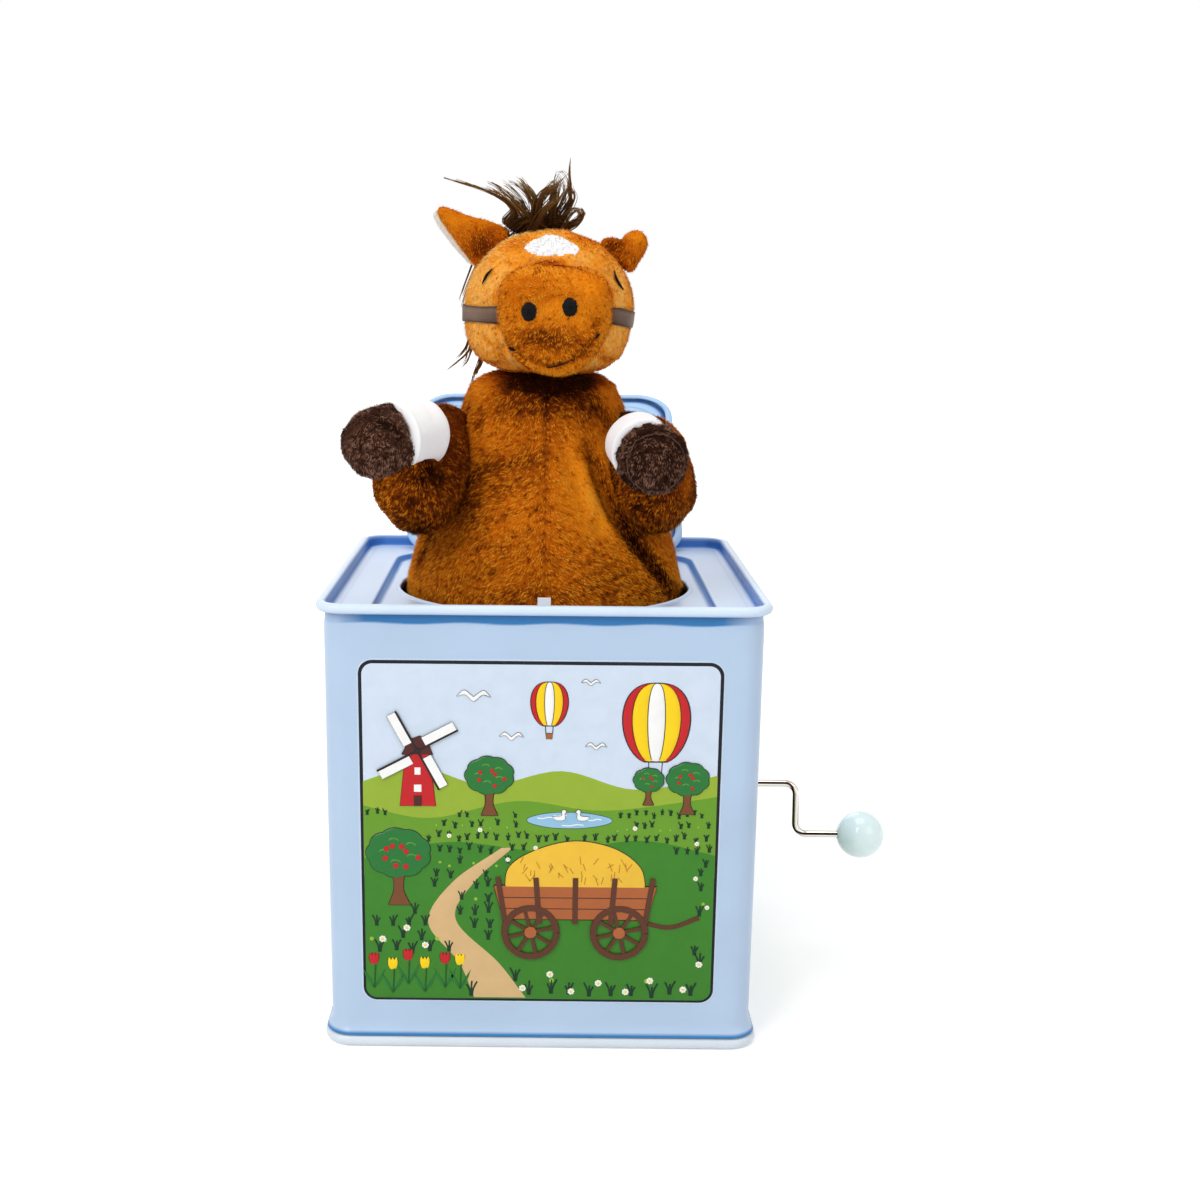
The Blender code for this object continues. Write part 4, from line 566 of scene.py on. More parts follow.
class Creases:
    """Folds in a soft skin, each laid along pixels of the photograph: (pixels, depth, width, dark), where
    dark is painted shade in the fold and, below 0, a painted highlight on a ridge.
    """

    def __init__(self, mesh, folds):
        tree = surface_tree(mesh)
        self.folds = []
        for pixels, depth, width, dark in folds:
            path = flat_path(pixels)
            places, weights = [], []
            for index, pixel in enumerate(path):
                place = tree.ray_cast(CAMERA_PLACE, sight(pixel))[0]
                if place is not None:
                    share = limited(index / (len(path) - 1), 0.03, 0.97)
                    places.append(tuple(place))
                    weights.append(min(1.0, 3.2 * math.sin(math.pi * share)) ** 1.2)
            if places:
                self.folds.append((np.array(places), np.array(weights), depth, width, dark))

    def at(self, places):
        """How far each place is pushed in, and how much painted shade it gets."""
        push, dark = np.zeros(len(places)), np.zeros(len(places))
        for line, weights, depth, width, painted_fold_shade in self.folds:
            away = np.linalg.norm(places[:, None, :] - line[None, :, :], axis=2)
            nearest = away.argmin(axis=1)
            gap = away[np.arange(len(places)), nearest] / MM
            push += depth * weights[nearest] * np.exp(-(gap / width) ** 2)
            dark += painted_fold_shade * weights[nearest] * np.exp(-(gap / (width * 1.15)) ** 2)
        return push, np.minimum(dark, 0.9)

    def press(self, mesh):
        """Pushes the skin in along its folds."""
        corners, normals = mesh_arrays(mesh)
        corners -= normals * (self.at(corners)[0] * MM)[:, None]
        mesh.vertices.foreach_set("co", corners.ravel())
        mesh.update()


def nap_and_painted_light(places, creases, base, painted_light_spots, seed, rear=0.0):
    """How bright the pile is at each place: a base, soft spots of painted light and shade on the front,
    painted shade in the folds and on the rear, and brushed patches of nap.
    """
    value = np.full(len(places), base)
    across, down = pixels_of(places)
    front = np.clip(0.5 - (places[:, 1] + 0.006) / 0.016, 0, 1)
    for x, y, wide, tall, amount in painted_light_spots:
        value += front * amount * np.exp(-((across - x) / wide) ** 2 - ((down - y) / tall) ** 2)
    value -= creases.at(places)[1]
    # Painted shade on the back of the piece
    value -= rear * np.clip((places[:, 1] + 0.006) / 0.018, 0, 1)
    return value + 0.07 * noise_at(places, 60, seed) + 0.07 * noise_at(places, 190, seed + 3)


def scattered(mesh, corners, normals, density, rng):
    """Roots of fibres spread evenly over a mesh, so many to a square millimetre, and which way is out."""
    mesh.calc_loop_triangles()
    triangles = np.empty(len(mesh.loop_triangles) * 3, np.int32)
    mesh.loop_triangles.foreach_get("vertices", triangles)
    triangles = triangles.reshape(-1, 3)
    a, b, c = (corners[triangles[:, index]] for index in range(3))
    areas = np.linalg.norm(np.cross(b - a, c - a), axis=1) / 2
    count = int(areas.sum() * 1e6 * density)
    picked = triangles[rng.choice(len(triangles), count, p=areas / areas.sum())]
    u, v = rng.random(count), rng.random(count)
    flip = u + v > 1
    u[flip], v[flip] = 1 - u[flip], 1 - v[flip]
    weights = np.stack([1 - u - v, u, v], axis=1)
    roots, ups = (np.einsum("ij,ijk->ik", weights, rows[picked]) for rows in (corners, normals))
    return roots, unit_rows(ups)


def with_pile(mesh, pile, brush, seed, tone, where, contrast):
    """Adds fibres, (density, length, width, lean), and a "pile" value: dark on the skin and at the roots as
    painted shade between the fibres, bright at tips.
    """
    density, length, width, lean = pile
    rng = np.random.default_rng(seed)
    corners, normals = mesh_arrays(mesh)
    roots, ups = scattered(mesh, corners, normals, density, rng)
    if where:
        keep = where(roots)
        roots, ups = roots[keep], ups[keep]
    count = len(roots)
    comb = brush(roots) + rng.normal(0, 0.20, (count, 3))
    comb = unit_rows(comb - ups * np.sum(comb * ups, axis=1, keepdims=True))
    leans = math.radians(lean) * (0.75 + 0.4 * rng.random(count))[:, None]
    heading = ups * np.cos(leans) + comb * np.sin(leans)
    lengths = length * MM * (0.65 + 0.7 * rng.random(count))[:, None]
    half = unit_rows(np.cross(heading, ups) + rng.normal(0, 0.15, (count, 3))) * width * MM / 2
    sunk = roots - ups * 0.15 * MM
    fibres = np.stack([sunk - half, sunk + half, roots + heading * lengths], axis=1).reshape(-1, 3)
    faces = [tuple(face.vertices) for face in mesh.polygons]
    faces += (len(corners) + np.arange(count * 3).reshape(-1, 3)).tolist()
    made = bpy.data.meshes.new(mesh.name)
    made.from_pydata(np.concatenate([corners, fibres]).tolist(), [], faces)
    made.shade_smooth()
    soft = np.repeat(unit_rows(ups + rng.normal(0, 0.30, (count, 3))), 3, axis=0)
    made.normals_split_custom_set_from_vertices(np.concatenate([normals, soft]).tolist())
    drawn = roots * np.array([0.62, 0.62, 1.25])
    gaps = np.exp(-(noise_at(drawn, 400, 5.0) / 0.10) ** 2)
    clump = np.clip(0.18 - 0.52 * gaps + 0.50 * noise_at(drawn, 900, 9.0), -0.38, 0.30)
    bright = tone(roots) + contrast * (clump + rng.normal(0, 0.05, count))
    # The roots and the skin below are set darker as painted shade between the fibres
    low = bright - 0.14 * contrast
    fibre_values = np.stack([low, low, bright + 0.18 * contrast], axis=1).reshape(-1)
    set_layer(made, "pile", np.concatenate([tone(corners) - 0.14 * contrast, fibre_values]))
    return made


def brushed(down_share, swirl, part=0.0):
    """A brushing direction: mostly down and out from the centre seam, wandering from place to place."""
    def brush(places):
        made = np.zeros_like(places)
        made[:, 2] = -down_share
        made[:, 0] = part * np.sign(places[:, 0])
        for index, place in enumerate(places):
            wander = noise.noise_vector(Vector(place) * swirl)
            made[index] += (wander.x * 1.1, wander.y * 1.1, wander.z * 0.6)
        return made
    return brush


def coated(mesh, folds, pile, brush, seed, tone, contrast=1.0, where=None):
    """Presses its folds into a mesh, and gives a copy of it with pile. The tone is nap_and_painted_light's
    last values.
    """
    creases = Creases(mesh, folds)
    creases.press(mesh)

    def shade(places):
        return nap_and_painted_light(places, creases, *tone)

    return with_pile(mesh, pile, brush, seed, shade, where, contrast)


# Tin

TIN_HALF = 70.0
TIN_CORNER = 7.5
RIM_TOP = 150.0
LEDGE = 146.0
FLOOR = 144.0
HOLE_RADIUS = 50.4
HOLE_Y = -5.3
LID_OPEN = 150.5
LID_HINGE = Vector((0, 50.5, 146.9)) * MM
SHEET = 0.4

# Height and half width of the sleeve, up the outside from the foot and down the inside
TIN_PROFILE = [
    (4.1, 71.9), (4.7, 71.7), (5.1, 71.45), (5.6, 71.1), (6.6, 70.5), (7.8, 70.15), (9.2, 70.0), (30, 70.0),
    (60, 70.02), (90, 70.02), (120, 70.0), (138, 70.0), (141.5, 70.0), (142.6, 69.97), (143.2, 69.9),
    (143.5, 69.85), (143.8, 69.8), (144.1, 69.75), (144.4, 69.7), (144.8, 69.65), (145.8, 69.6),
    (146.7, 69.5), (146.7, 69.0), (120, 69.4), (60, 69.4), (9.2, 69.4), (5.0, 71.0),
]


def square_level(half, z, corner_from=None):
    """A level of the square tin, whose corners keep one centre unless they are set in further."""
    return half, half, (corner_from or half) + TIN_CORNER - TIN_HALF, 0, z


def make_tin_body():
    rings = level_rings([square_level(half, z) for z, half in TIN_PROFILE], 12, 40)
    mesh = mesh_of("tin_walls", loft(rings, close_along=True), 40)
    tones = []
    for vertex in mesh.vertices:
        place = vertex.co / MM
        # Painted shade: a dark band with a wavy lower edge under the rim's overhang, fading towards the
        # corners, and a dark line at the foot above the base bead
        end = limited((min(abs(place.x), abs(place.y)) - 56) / 9)
        wave = 0.28 * math.sin(place.x * 0.21 + place.y * 0.17)
        painted_rim_shadow = limited((place.z - 143.5 - wave) / 0.5) * (1 - 0.8 * end)
        painted_foot_shade = limited((5.3 - place.z) / 0.4)
        tones.append(1 - 0.95 * max(painted_rim_shadow, painted_foot_shade))
    set_layer(mesh, "tone", tones)
    add_piece("tin_walls", mesh, TIN, "root", "tin_body")


def make_top():
    """The stamped top, in (level, tone) rows from outside in: rolled rim, ledge, recess and curled mouth. A
    low tone is painted shade: under the roll, down the rim's inner wall, in the ledge's groove, down the
    recess's step and into the mouth.
    """
    rim, roll_x, roll_z = 70.75, 1.8, 1.65
    rim_painted_shade = [0.45] * 3 + [0.72, 0.9] + [0.97] * 7 + [0.85, 0.2, 0.2]
    rows = [
        (square_level(rim + roll_x * cosine, RIM_TOP - roll_z + roll_z * sine), tone)
        for (cosine, sine), tone in zip(arc(-110, 270, 14), rim_painted_shade)
    ]
    wall = 69.0
    for inset, corner_inset, z, tone in (
        (0, 0, RIM_TOP - 1.6, 0.10), (0, 0, LEDGE + 1.0, 0.05), (0.25, 0.2, LEDGE + 0.3, 0.02),
        (0.8, 0.5, LEDGE + 0.02, 0.2), (1.3, 0.9, LEDGE, 0.80), (2.3, 1.6, LEDGE, 0.86),
        (2.9, 2.1, LEDGE, 0.66), (3.6, 2.7, LEDGE, 0.78),
    ):
        rows.append((square_level(wall - inset, z, wall - corner_inset), tone))
    front, rear, half_x, corner = -63.0, 53.6, 56.0, 15.0
    middle, half_y = (front + rear) / 2, (rear - front) / 2
    for inset, z, tone in (
        (-1.0, LEDGE, 0.78), (-0.5, LEDGE, 0.84), (0.0, LEDGE - 0.12, 0.5), (0.35, LEDGE - 0.45, 0.02),
        (1.35, FLOOR + 0.45, 0.0), (1.8, FLOOR + 0.1, 0.3), (2.6, FLOOR, 0.78),
    ):
        rows.append(((half_x - inset, half_y - inset, corner - inset, middle, z), tone))
    for outset, rise, tone in (
        (2.0, 0, 0.78), (1.3, 0, 0.66), (0.95, 0.35, 0.9), (0.5, 0.6, 0.94), (0.1, 0.35, 0.8), (0, -0.2, 0.4),
        (0, -2.0, 0.1),
    ):
        radius = HOLE_RADIUS + outset
        rows.append(((radius, radius, radius, HOLE_Y, FLOOR + rise), tone))
    rings = level_rings([level for level, _ in rows], 14)
    values = []
    for ring, (_, tone) in zip(rings, rows):
        for point in ring:
            place = point / MM
            # The painted shade on the recess's step is lifted towards the front
            slope = LEDGE - 0.6 > place.z > FLOOR + 0.05 and abs(place.x) < 57 and -64 < place.y < 55
            painted_shade_lift = 0.55 * limited((-place.y - 20) / 42) if slope and tone < 0.9 else 0.0
            values.append(tone + (1 - tone) * painted_shade_lift)
    mesh = mesh_of("tin_top", loft(rings), 50)
    set_layer(mesh, "tone", values)
    thicken(add_piece("tin_top", mesh, TIN_TOP, "root", "top_plate"), SHEET)


def make_base():
    centre, radius, steps = 70.5, 1.95, 16
    levels = [square_level(centre + radius * x, radius * (1 + y)) for x, y in arc(-90, 300, steps)]
    rings = level_rings(levels, 10)
    mesh = mesh_of("tin_base", loft(rings, caps=(0,)), 50)
    # Painted shade: the top of the bead's curl, where it meets the wall, is dark
    set_layer(mesh, "tone", [0.15 if row >= 12 else 1.0 for row in range(steps + 1) for _ in rings[0]])
    add_piece("tin_base", mesh, BEAD, "root", "base_plate")


def make_lid():
    """The lid is made closed about its wire and turned open, as the solid is."""
    half_x, half_y, corner, bead = 52.4, 53.05, 13.4, 1.6
    opened = Matrix.Translation(LID_HINGE) @ Matrix.Rotation(math.radians(-LID_OPEN), 4, "X")
    # Tones are painted shade: dark on the bead's inner side and in the crease inside it, a little darker down
    # the panel's step
    rows = [
        ((half_x + bead * cosine, half_y + bead * cosine, corner + bead * cosine, -half_y, bead * sine), tone)
        for (cosine, sine), tone in zip(arc(-150, 300, 12), [1.0] * 11 + [0.45, 0.1])
    ]
    for inset, z, tone in (
        (1.9, 0.62, 0.0), (2.6, 0.60, 0.05), (3.3, 0.62, 0.75), (4.4, 0.62, 1.0), (5.6, 0.62, 1.0),
        (6.6, 0.55, 0.9), (7.6, -0.1, 0.75), (8.8, -0.32, 0.9), (9.8, -0.35, 1.0),
    ):
        rows.append(((half_x - inset, half_y - inset, max(3.0, corner - inset * 0.6), -half_y, z), tone))
    rings = [[opened @ point for point in ring] for ring in level_rings([level for level, _ in rows], 14)]
    mesh = mesh_of("lid_panel", loft(rings, caps=(-1,)), 50)
    set_layer(mesh, "tone", [tone for _, tone in rows for _ in rings[0]])
    thicken(add_piece("lid_panel", mesh, LID_FACE, "lid", "lid"), SHEET)


# Printed panels: a thin raised picture on each wall, in the inks of INKS

# The ridge's pale ink is a painted highlight on the raised ridge round the frame
INKS = {
    "outline": (38, 30, 26), "line": (3, 7, 24), "ridge": (204, 221, 240), "sky": (212, 226, 243),
    "far_hill": (150, 178, 52), "middle_hill": (104, 154, 40), "near_hill": (58, 128, 34),
    "path": (218, 182, 130), "red": (200, 30, 36), "yellow": (255, 214, 20), "white": (250, 250, 248),
    "wicker": (165, 98, 52), "trunk": (120, 72, 38), "leaf": (38, 118, 52), "leaf_light": (84, 150, 52),
    "roof": (78, 32, 30), "stalk": (26, 92, 40), "wood": (176, 98, 52), "dark_wood": (92, 52, 32),
    "straw": (240, 192, 60), "straw_dark": (190, 132, 34), "blade": (10, 54, 26),
    "blade_light": (150, 190, 60), "water": (150, 196, 226),
}
PANEL_LEFT, PANEL_RIGHT = -58.6, 57.0
PANEL_LOW, PANEL_HIGH = 16.2, 132.0


def wall_matrix(side):
    """Takes panel coordinates (across, up, out) in millimetres to a wall: 0 front, then round to the left."""
    turn = Matrix.Rotation(math.radians(-90 * side), 4, "Z")
    place = Matrix(((1, 0, 0, 0), (0, 0, -1, -TIN_HALF), (0, 1, 0, 0), (0, 0, 0, 1)))
    return Matrix.Scale(MM, 4) @ turn @ place


def filled(outline, low, high, edge):
    """A raised flat shape with a sloping edge, from an outline in panel coordinates."""
    count = len(outline)
    pairs = zip(outline, outline[1:] + outline[:1])
    if sum(here[0] * after[1] - after[0] * here[1] for here, after in pairs) < 0:
        outline = outline[::-1]
    points = [Vector(point) for point in outline]
    inner = []
    for index, point in enumerate(points):
        first, second = point - points[index - 1], points[(index + 1) % count] - point
        first = first.normalized() if first.length > 1e-6 else Vector((1, 0))
        second = second.normalized() if second.length > 1e-6 else first
        normal = Vector((-(first.y + second.y), first.x + second.x))
        normal = normal.normalized() if normal.length > 1e-6 else Vector((-first.y, first.x))
        inner.append(point + normal * edge)
    return loft([
        [Vector((point.x, point.y, height)) for point in ring]
        for ring, height in ((points, low), (points, between(low, high, 0.6)), (inner, high))
    ], caps=(-1,))


def band(points, width, low, high):
    """A raised line of a given width along the points."""
    points = [Vector(point) for point in points]
    left, right = [], []
    for index, point in enumerate(points):
        ahead = (points[min(len(points) - 1, index + 1)] - points[max(0, index - 1)]).normalized()
        normal = Vector((-ahead.y, ahead.x)) * width / 2
        left.append(tuple(point + normal))
        right.append(tuple(point - normal))
    return filled(left + right[::-1], low, high, min(0.12, width / 4))


def pillow(left, right, low, high, columns=7):
    """A raised strip between two lines of equal length, crowned across and falling to its edges."""
    rows = []
    for row, (a, b) in enumerate(zip(left, right)):
        along = math.sin(math.pi * (row + 0.02) / (len(left) - 0.96)) ** 0.35
        shares = [column / (columns - 1) for column in range(columns)]
        rows.append([
            Vector((*(between(p, q, share) for p, q in zip(a, b)),
                    low + (high - low) * (4 * share * (1 - share)) ** 0.45 * along))
            for share in shares
        ])
    return loft(rows, close_round=False)


def circle(centre, radius, steps, squash=1.0):
    return [
        (centre[0] + radius * math.cos(turn), centre[1] + squash * radius * math.sin(turn))
        for turn in round_turn(steps)
    ]


def box(left, low, right, high):
    return [(left, low), (right, low), (right, high), (left, high)]


def moved_to(x, y, size):
    """Gives what takes a drawing's unit points to their place on the panel."""
    return lambda points: [(x + size * a, y + size * b) for a, b in points]


class Panel:
    """Collects a wall's shapes by ink and makes one mesh of each."""

    def __init__(self, side):
        self.name = ("front", "left", "back", "right")[side]
        self.matrix = wall_matrix(side)
        self.shapes = {}

    def add(self, ink, shape):
        self.shapes.setdefault("ink_" + ink, []).append(shape)

    def fill(self, ink, outline, low, high, edge=0.25):
        self.add(ink, filled(outline, low, high, edge))

    def pillow(self, ink, left, right, low, high):
        self.add(ink, pillow(left, right, low, high))

    def line(self, ink, points, width, low, high):
        self.add(ink, band(points, width, low, high))

    def outlined(self, ink, outline, low, high, edge=0.3, line=0.45):
        self.fill(ink, outline, low, high, edge)
        self.line("outline", outline + outline[:1], line, low, low + 0.6 * (high - low))

    def finish(self):
        for name, parts in self.shapes.items():
            corners, faces = merged(parts)
            shape = [self.matrix @ corner for corner in corners], faces
            piece = self.name + "_" + name
            add_piece(piece, mesh_of(piece, shape, 28), INK_SKINS[name], "root")


INK_SKINS = {"ink_" + ink: print_ink("ink_" + ink, colour(*shade)) for ink, shade in INKS.items()}


def panel_frame(panel):
    """The raised ridge, whose pale ink is a painted highlight, the dark line and the sky's field inside it.
    """
    at = moved_to((PANEL_LEFT + PANEL_RIGHT) / 2, (PANEL_LOW + PANEL_HIGH) / 2, 1)
    for ink, grow, corner, low, high, edge in (
        ("ridge", 0.5, 5.0, -0.05, 0.16, 0.45), ("line", 0, 4.5, 0.1, 0.30, 0.12),
        ("sky", -1.1, 3.5, 0.2, 0.36, 0.12),
    ):
        half_x, half_y = (PANEL_RIGHT - PANEL_LEFT) / 2 + grow, (PANEL_HIGH - PANEL_LOW) / 2 + grow
        panel.fill(ink, at(rounded_rectangle(half_x, half_y, corner, 8)), low, high, edge)


def hill(points, base):
    """A hill's outline: its crest, closed along a level with the panel's lower corners rounded."""
    left, right, bottom = PANEL_LEFT + 0.9, PANEL_RIGHT - 0.9, PANEL_LOW + 0.9
    crest = [
        (limited(x, PANEL_LEFT + 1.0, PANEL_RIGHT - 1.0), limited(y, base, PANEL_HIGH - 1.0))
        for x, y in flat_path(points)
    ]
    if base > bottom + 4:
        return crest + [(right, base), (left, base)]
    corner = 3.7
    y = bottom + corner
    for start, x in ((360, right - corner), (270, left + corner)):
        crest += [(x + corner * cosine, y + corner * sine) for cosine, sine in arc(start, -90, 6)]
    return crest


def hills(panel, far, far_base, middle, near, edge=0.25):
    panel.fill("far_hill", hill(far, far_base), 0.3, 0.5, edge)
    panel.fill("middle_hill", hill(middle, PANEL_LOW), 0.32, 0.56, edge)
    panel.fill("near_hill", hill(near, PANEL_LOW), 0.34, 0.60, edge)


def balloon(panel, x, y, size):
    """A striped hot-air balloon with its basket."""
    at = moved_to(x, y, size)
    rises = [0.012 + 0.888 * step / 20 for step in range(21)]

    def envelope(share, rises):
        """Places down the balloon's side, this share of its width from the middle."""
        turns = [(math.pi * rise, 1 - 0.28 * rise ** 2) for rise in rises]
        return at([(share * math.sin(turn) ** 0.75 * taper, 1.15 * math.cos(turn)) for turn, taper in turns])

    bounds = [-1, -0.72, -0.26, 0.26, 0.72, 1]
    for index, ink in enumerate(("red", "yellow", "white", "yellow", "red")):
        left, right = envelope(bounds[index], rises), envelope(bounds[index + 1], rises)
        panel.pillow(ink, left, right, 0.34, 0.34 + 0.05 * size)
        if index < 4:
            panel.line("outline", right[1:-1], 0.02 * size + 0.1, 0.34, 0.46)
    outline = envelope(-1, rises) + envelope(1, rises[::-1])
    panel.line("outline", outline + outline[:1], 0.03 * size + 0.16, 0.34, 0.5)
    for side in (-1, 1):
        panel.line("outline", envelope(side * 0.6, [0.9]) + at([(side * 0.17, -1.48)]), 0.28, 0.3, 0.5)
    basket = at([(-0.17, -1.48), (0.17, -1.48), (0.136, -1.76), (-0.136, -1.76)])
    panel.outlined("wicker", basket, 0.3, 0.66, 0.08, 0.3)


def apple_tree(panel, x, y, size, fruit):
    """A round-headed apple tree."""
    at = moved_to(x, y, size)
    trunk = flat_path(at([(-0.221, 0), (-0.104, 0.35), (-0.143, 0.8)]), 5)
    trunk += flat_path(at([(0.143, 0.8), (0.091, 0.35), (0.234, 0)]), 5)
    panel.outlined("trunk", trunk, 0.45, 0.85, 0.08)
    crown = []
    for angle in round_turn(72):
        wave = 1 + 0.07 * abs(math.sin(4.5 * angle))
        crown.append((0.62 * wave * math.cos(angle), 1.12 + 0.5 * wave * math.sin(angle)))
    panel.outlined("leaf", at(crown), 0.45, 1.0, 0.3)
    for index in range(5):
        angle = 0.6 + 1.3 * index
        across, up = 0.3 * math.cos(angle), 1.14 + 0.24 * math.sin(angle)
        leaf = [(across + 0.1 * math.cos(t), up + 0.07 * math.sin(t)) for t in np.linspace(0.2, 2.8, 7)]
        panel.line("leaf_light", at(leaf), 0.45, 0.9, 1.1)
    for index in range(fruit):
        angle = 2.4 * index + 0.3
        reach = 0.16 + 0.3 * ((index * 0.37) % 1)
        centre = at([(reach * math.cos(angle), 1.12 + reach * 0.8 * math.sin(angle))])[0]
        panel.fill("red", circle(centre, size * 0.058, 12), 0.85, 1.2, 0.1)


def gull(panel, x, y, size):
    """A white bird on the wing."""
    over = [(-1.0, 0.10), (-0.56, 0.46), (-0.14, 0.16), (0.0, 0.06), (0.16, 0.18), (0.6, 0.44), (1.0, 0.04)]
    under = [
        (1.0, 0.04), (0.55, 0.20), (0.14, -0.12), (0.0, -0.20), (-0.14, -0.14), (-0.5, 0.20), (-1.0, 0.10),
    ]
    outline = moved_to(x, y, size)(flat_path(over, 4)[:-1] + flat_path(under, 4)[:-1])
    panel.outlined("white", outline, 0.34, 0.74, 0.1, 0.26)


def windmill(panel, x, y, size):
    """A small red windmill with white sails."""
    at = moved_to(x, y, size)
    panel.outlined("red", at([(-0.36, 0), (-0.24, 1.1), (0.24, 1.1), (0.36, 0)]), 0.36, 0.82, 0.2, 0.3)
    roof = at([(-0.31, 1.08), (-0.16, 1.38), (0.05, 1.46), (0.2, 1.36), (0.31, 1.08)])
    panel.outlined("roof", roof, 0.5, 0.98, 0.15, 0.3)
    panel.fill("white", at(box(-0.075, 0.3, 0.075, 0.45)), 0.7, 0.95, 0.05)
    panel.fill("white", at(box(-0.06, 0.66, 0.06, 0.81)), 0.7, 0.95, 0.05)
    panel.fill("roof", at(box(-0.08, 0.1 / size, 0.08, 0.22)), 0.7, 0.95, 0.05)
    hub = at([(0, 1.16)])[0]
    for quarter in range(4):
        turn = math.radians(28 + 90 * quarter)
        cosine, sine = math.cos(turn), math.sin(turn)
        sail = [
            (hub[0] + size * (reach * cosine - wide * sine), hub[1] + size * (reach * sine + wide * cosine))
            for reach, wide in ((0.2, 0.02), (0.9, 0.02), (0.9, 0.2), (0.2, 0.2))
        ]
        spar = [hub, (hub[0] + size * 0.92 * cosine, hub[1] + size * 0.92 * sine)]
        panel.line("outline", spar, size * 0.045, 0.9, 1.15)
        panel.outlined("white", sail, 0.92, 1.1, 0.06, 0.22)
    panel.fill("outline", circle(hub, size * 0.06, 12), 1.0, 1.3, 0.08)


def tulip(panel, x, y, size, ink):
    """A tulip of three petals between two leaves."""
    at = moved_to(x, y, size)
    panel.line("stalk", at([(0, 0), (0.04, 0.75)]), 0.5, 0.5, 0.8)
    for side in (-1, 1):
        leaf = flat_path(at([(0, 0), (side * 0.20, 0.26), (side * 0.30, 0.58)]), 4)
        leaf += flat_path(at([(side * 0.10, 0.30), (0, 0)]), 4)[1:]
        panel.fill("leaf", leaf, 0.5, 0.78, 0.06)
    wide, low, tall = size * 0.15, y + size * 0.70, size * 0.35
    for middle, reach in ((-0.55, 0.52), (0.55, 0.52), (0.0, 0.56)):
        left, right = [], []
        for step in range(9):
            rise = step / 8
            half = wide * reach * math.sin(math.pi * (0.12 + 0.88 * rise)) ** 0.7 if rise < 1 else 0.02
            lean = x + wide * middle * (0.45 + 0.75 * rise)
            left.append((lean - half, low + tall * rise))
            right.append((lean + half, low + tall * rise))
        dark_left, dark_right = [(a - 0.22, b) for a, b in left], [(a + 0.22, b + 0.15) for a, b in right]
        panel.pillow("outline", dark_left, dark_right, 0.5, 0.80 if middle else 0.95)
        panel.pillow(ink, left, right, 0.55, 0.98 if middle else 1.12)


def tulips(panel, count, left, step, low, size, wander, rise, seed):
    """A row of tulips, red and yellow in turn."""
    rng = np.random.default_rng(seed)
    for index in range(count):
        x = left + step * index + rng.uniform(-wander, wander)
        tulip(panel, x, low + rng.uniform(0, rise), size, ("red", "yellow")[index % 2])


def daisy(panel, x, y, size):
    for petal in circle((x, y), size * 0.6, 7):
        panel.fill("white", circle(petal, size * 0.36, 8), 0.5, 0.8, 0.06)
    panel.fill("yellow", circle((x, y), size * 0.36, 10), 0.6, 0.9, 0.06)


def wagon(panel, x, y, size):
    """A wooden hay wagon: slatted side, straw load, two spoked wheels and a shaft."""
    at = moved_to(x, y, size)
    load = [(-0.92, 0.62), (-0.86, 0.98), (-0.5, 1.22), (0, 1.34), (0.5, 1.24), (0.84, 0.98), (0.92, 0.62)]
    panel.outlined("straw", flat_path(at(load), 7), 0.5, 1.05, 0.5)
    strands = np.random.default_rng(3)
    for _ in range(34):
        foot = (strands.uniform(-0.72, 0.72), strands.uniform(0.72, 1.05))
        turn = strands.uniform(0.5, 2.6)
        reach = strands.uniform(0.07, 0.13)
        tip = (foot[0] + reach * math.cos(turn), foot[1] + reach * math.sin(turn))
        panel.line("straw_dark", at([foot, tip]), 0.28, 0.95, 1.15)
    bed = at([(-1.06, 0.72), (1.06, 0.72), (0.94, 0.26), (-0.94, 0.26)])
    panel.outlined("wood", bed, 0.5, 1.15, 0.35, 0.6)
    for share in (0.33, 0.66):
        level = 0.26 + 0.46 * share
        panel.line("outline", at([(-0.97, level), (0.97, level)]), 0.35, 1.0, 1.2)
    for post in (-0.98, -0.5, 0.0, 0.5, 0.98):
        panel.line("dark_wood", at([(post * 0.93, 0.2), (post * 1.03, 0.84)]), size * 0.07, 1.0, 1.35)
    shaft = flat_path(at([(0.9, 0.22), (1.25, 0.16), (1.62, 0.3)]), 6)
    panel.line("dark_wood", shaft, size * 0.06, 0.5, 0.95)
    for wheel_x in (-0.58, 0.58):
        centre = at([(wheel_x, 0.08)])[0]
        radius = size * 0.34
        rim = circle(centre, radius, 30)
        panel.line("dark_wood", rim + rim[:1], size * 0.085, 0.95, 1.45)
        for spoke in range(8):
            angle = math.pi * 2 * (spoke + 0.3) / 8
            end = (centre[0] + radius * 0.93 * math.cos(angle), centre[1] + radius * 0.93 * math.sin(angle))
            panel.line("dark_wood", [centre, end], size * 0.05, 0.95, 1.3)
        panel.fill("wood", circle(centre, size * 0.08, 14), 1.1, 1.55, 0.15)


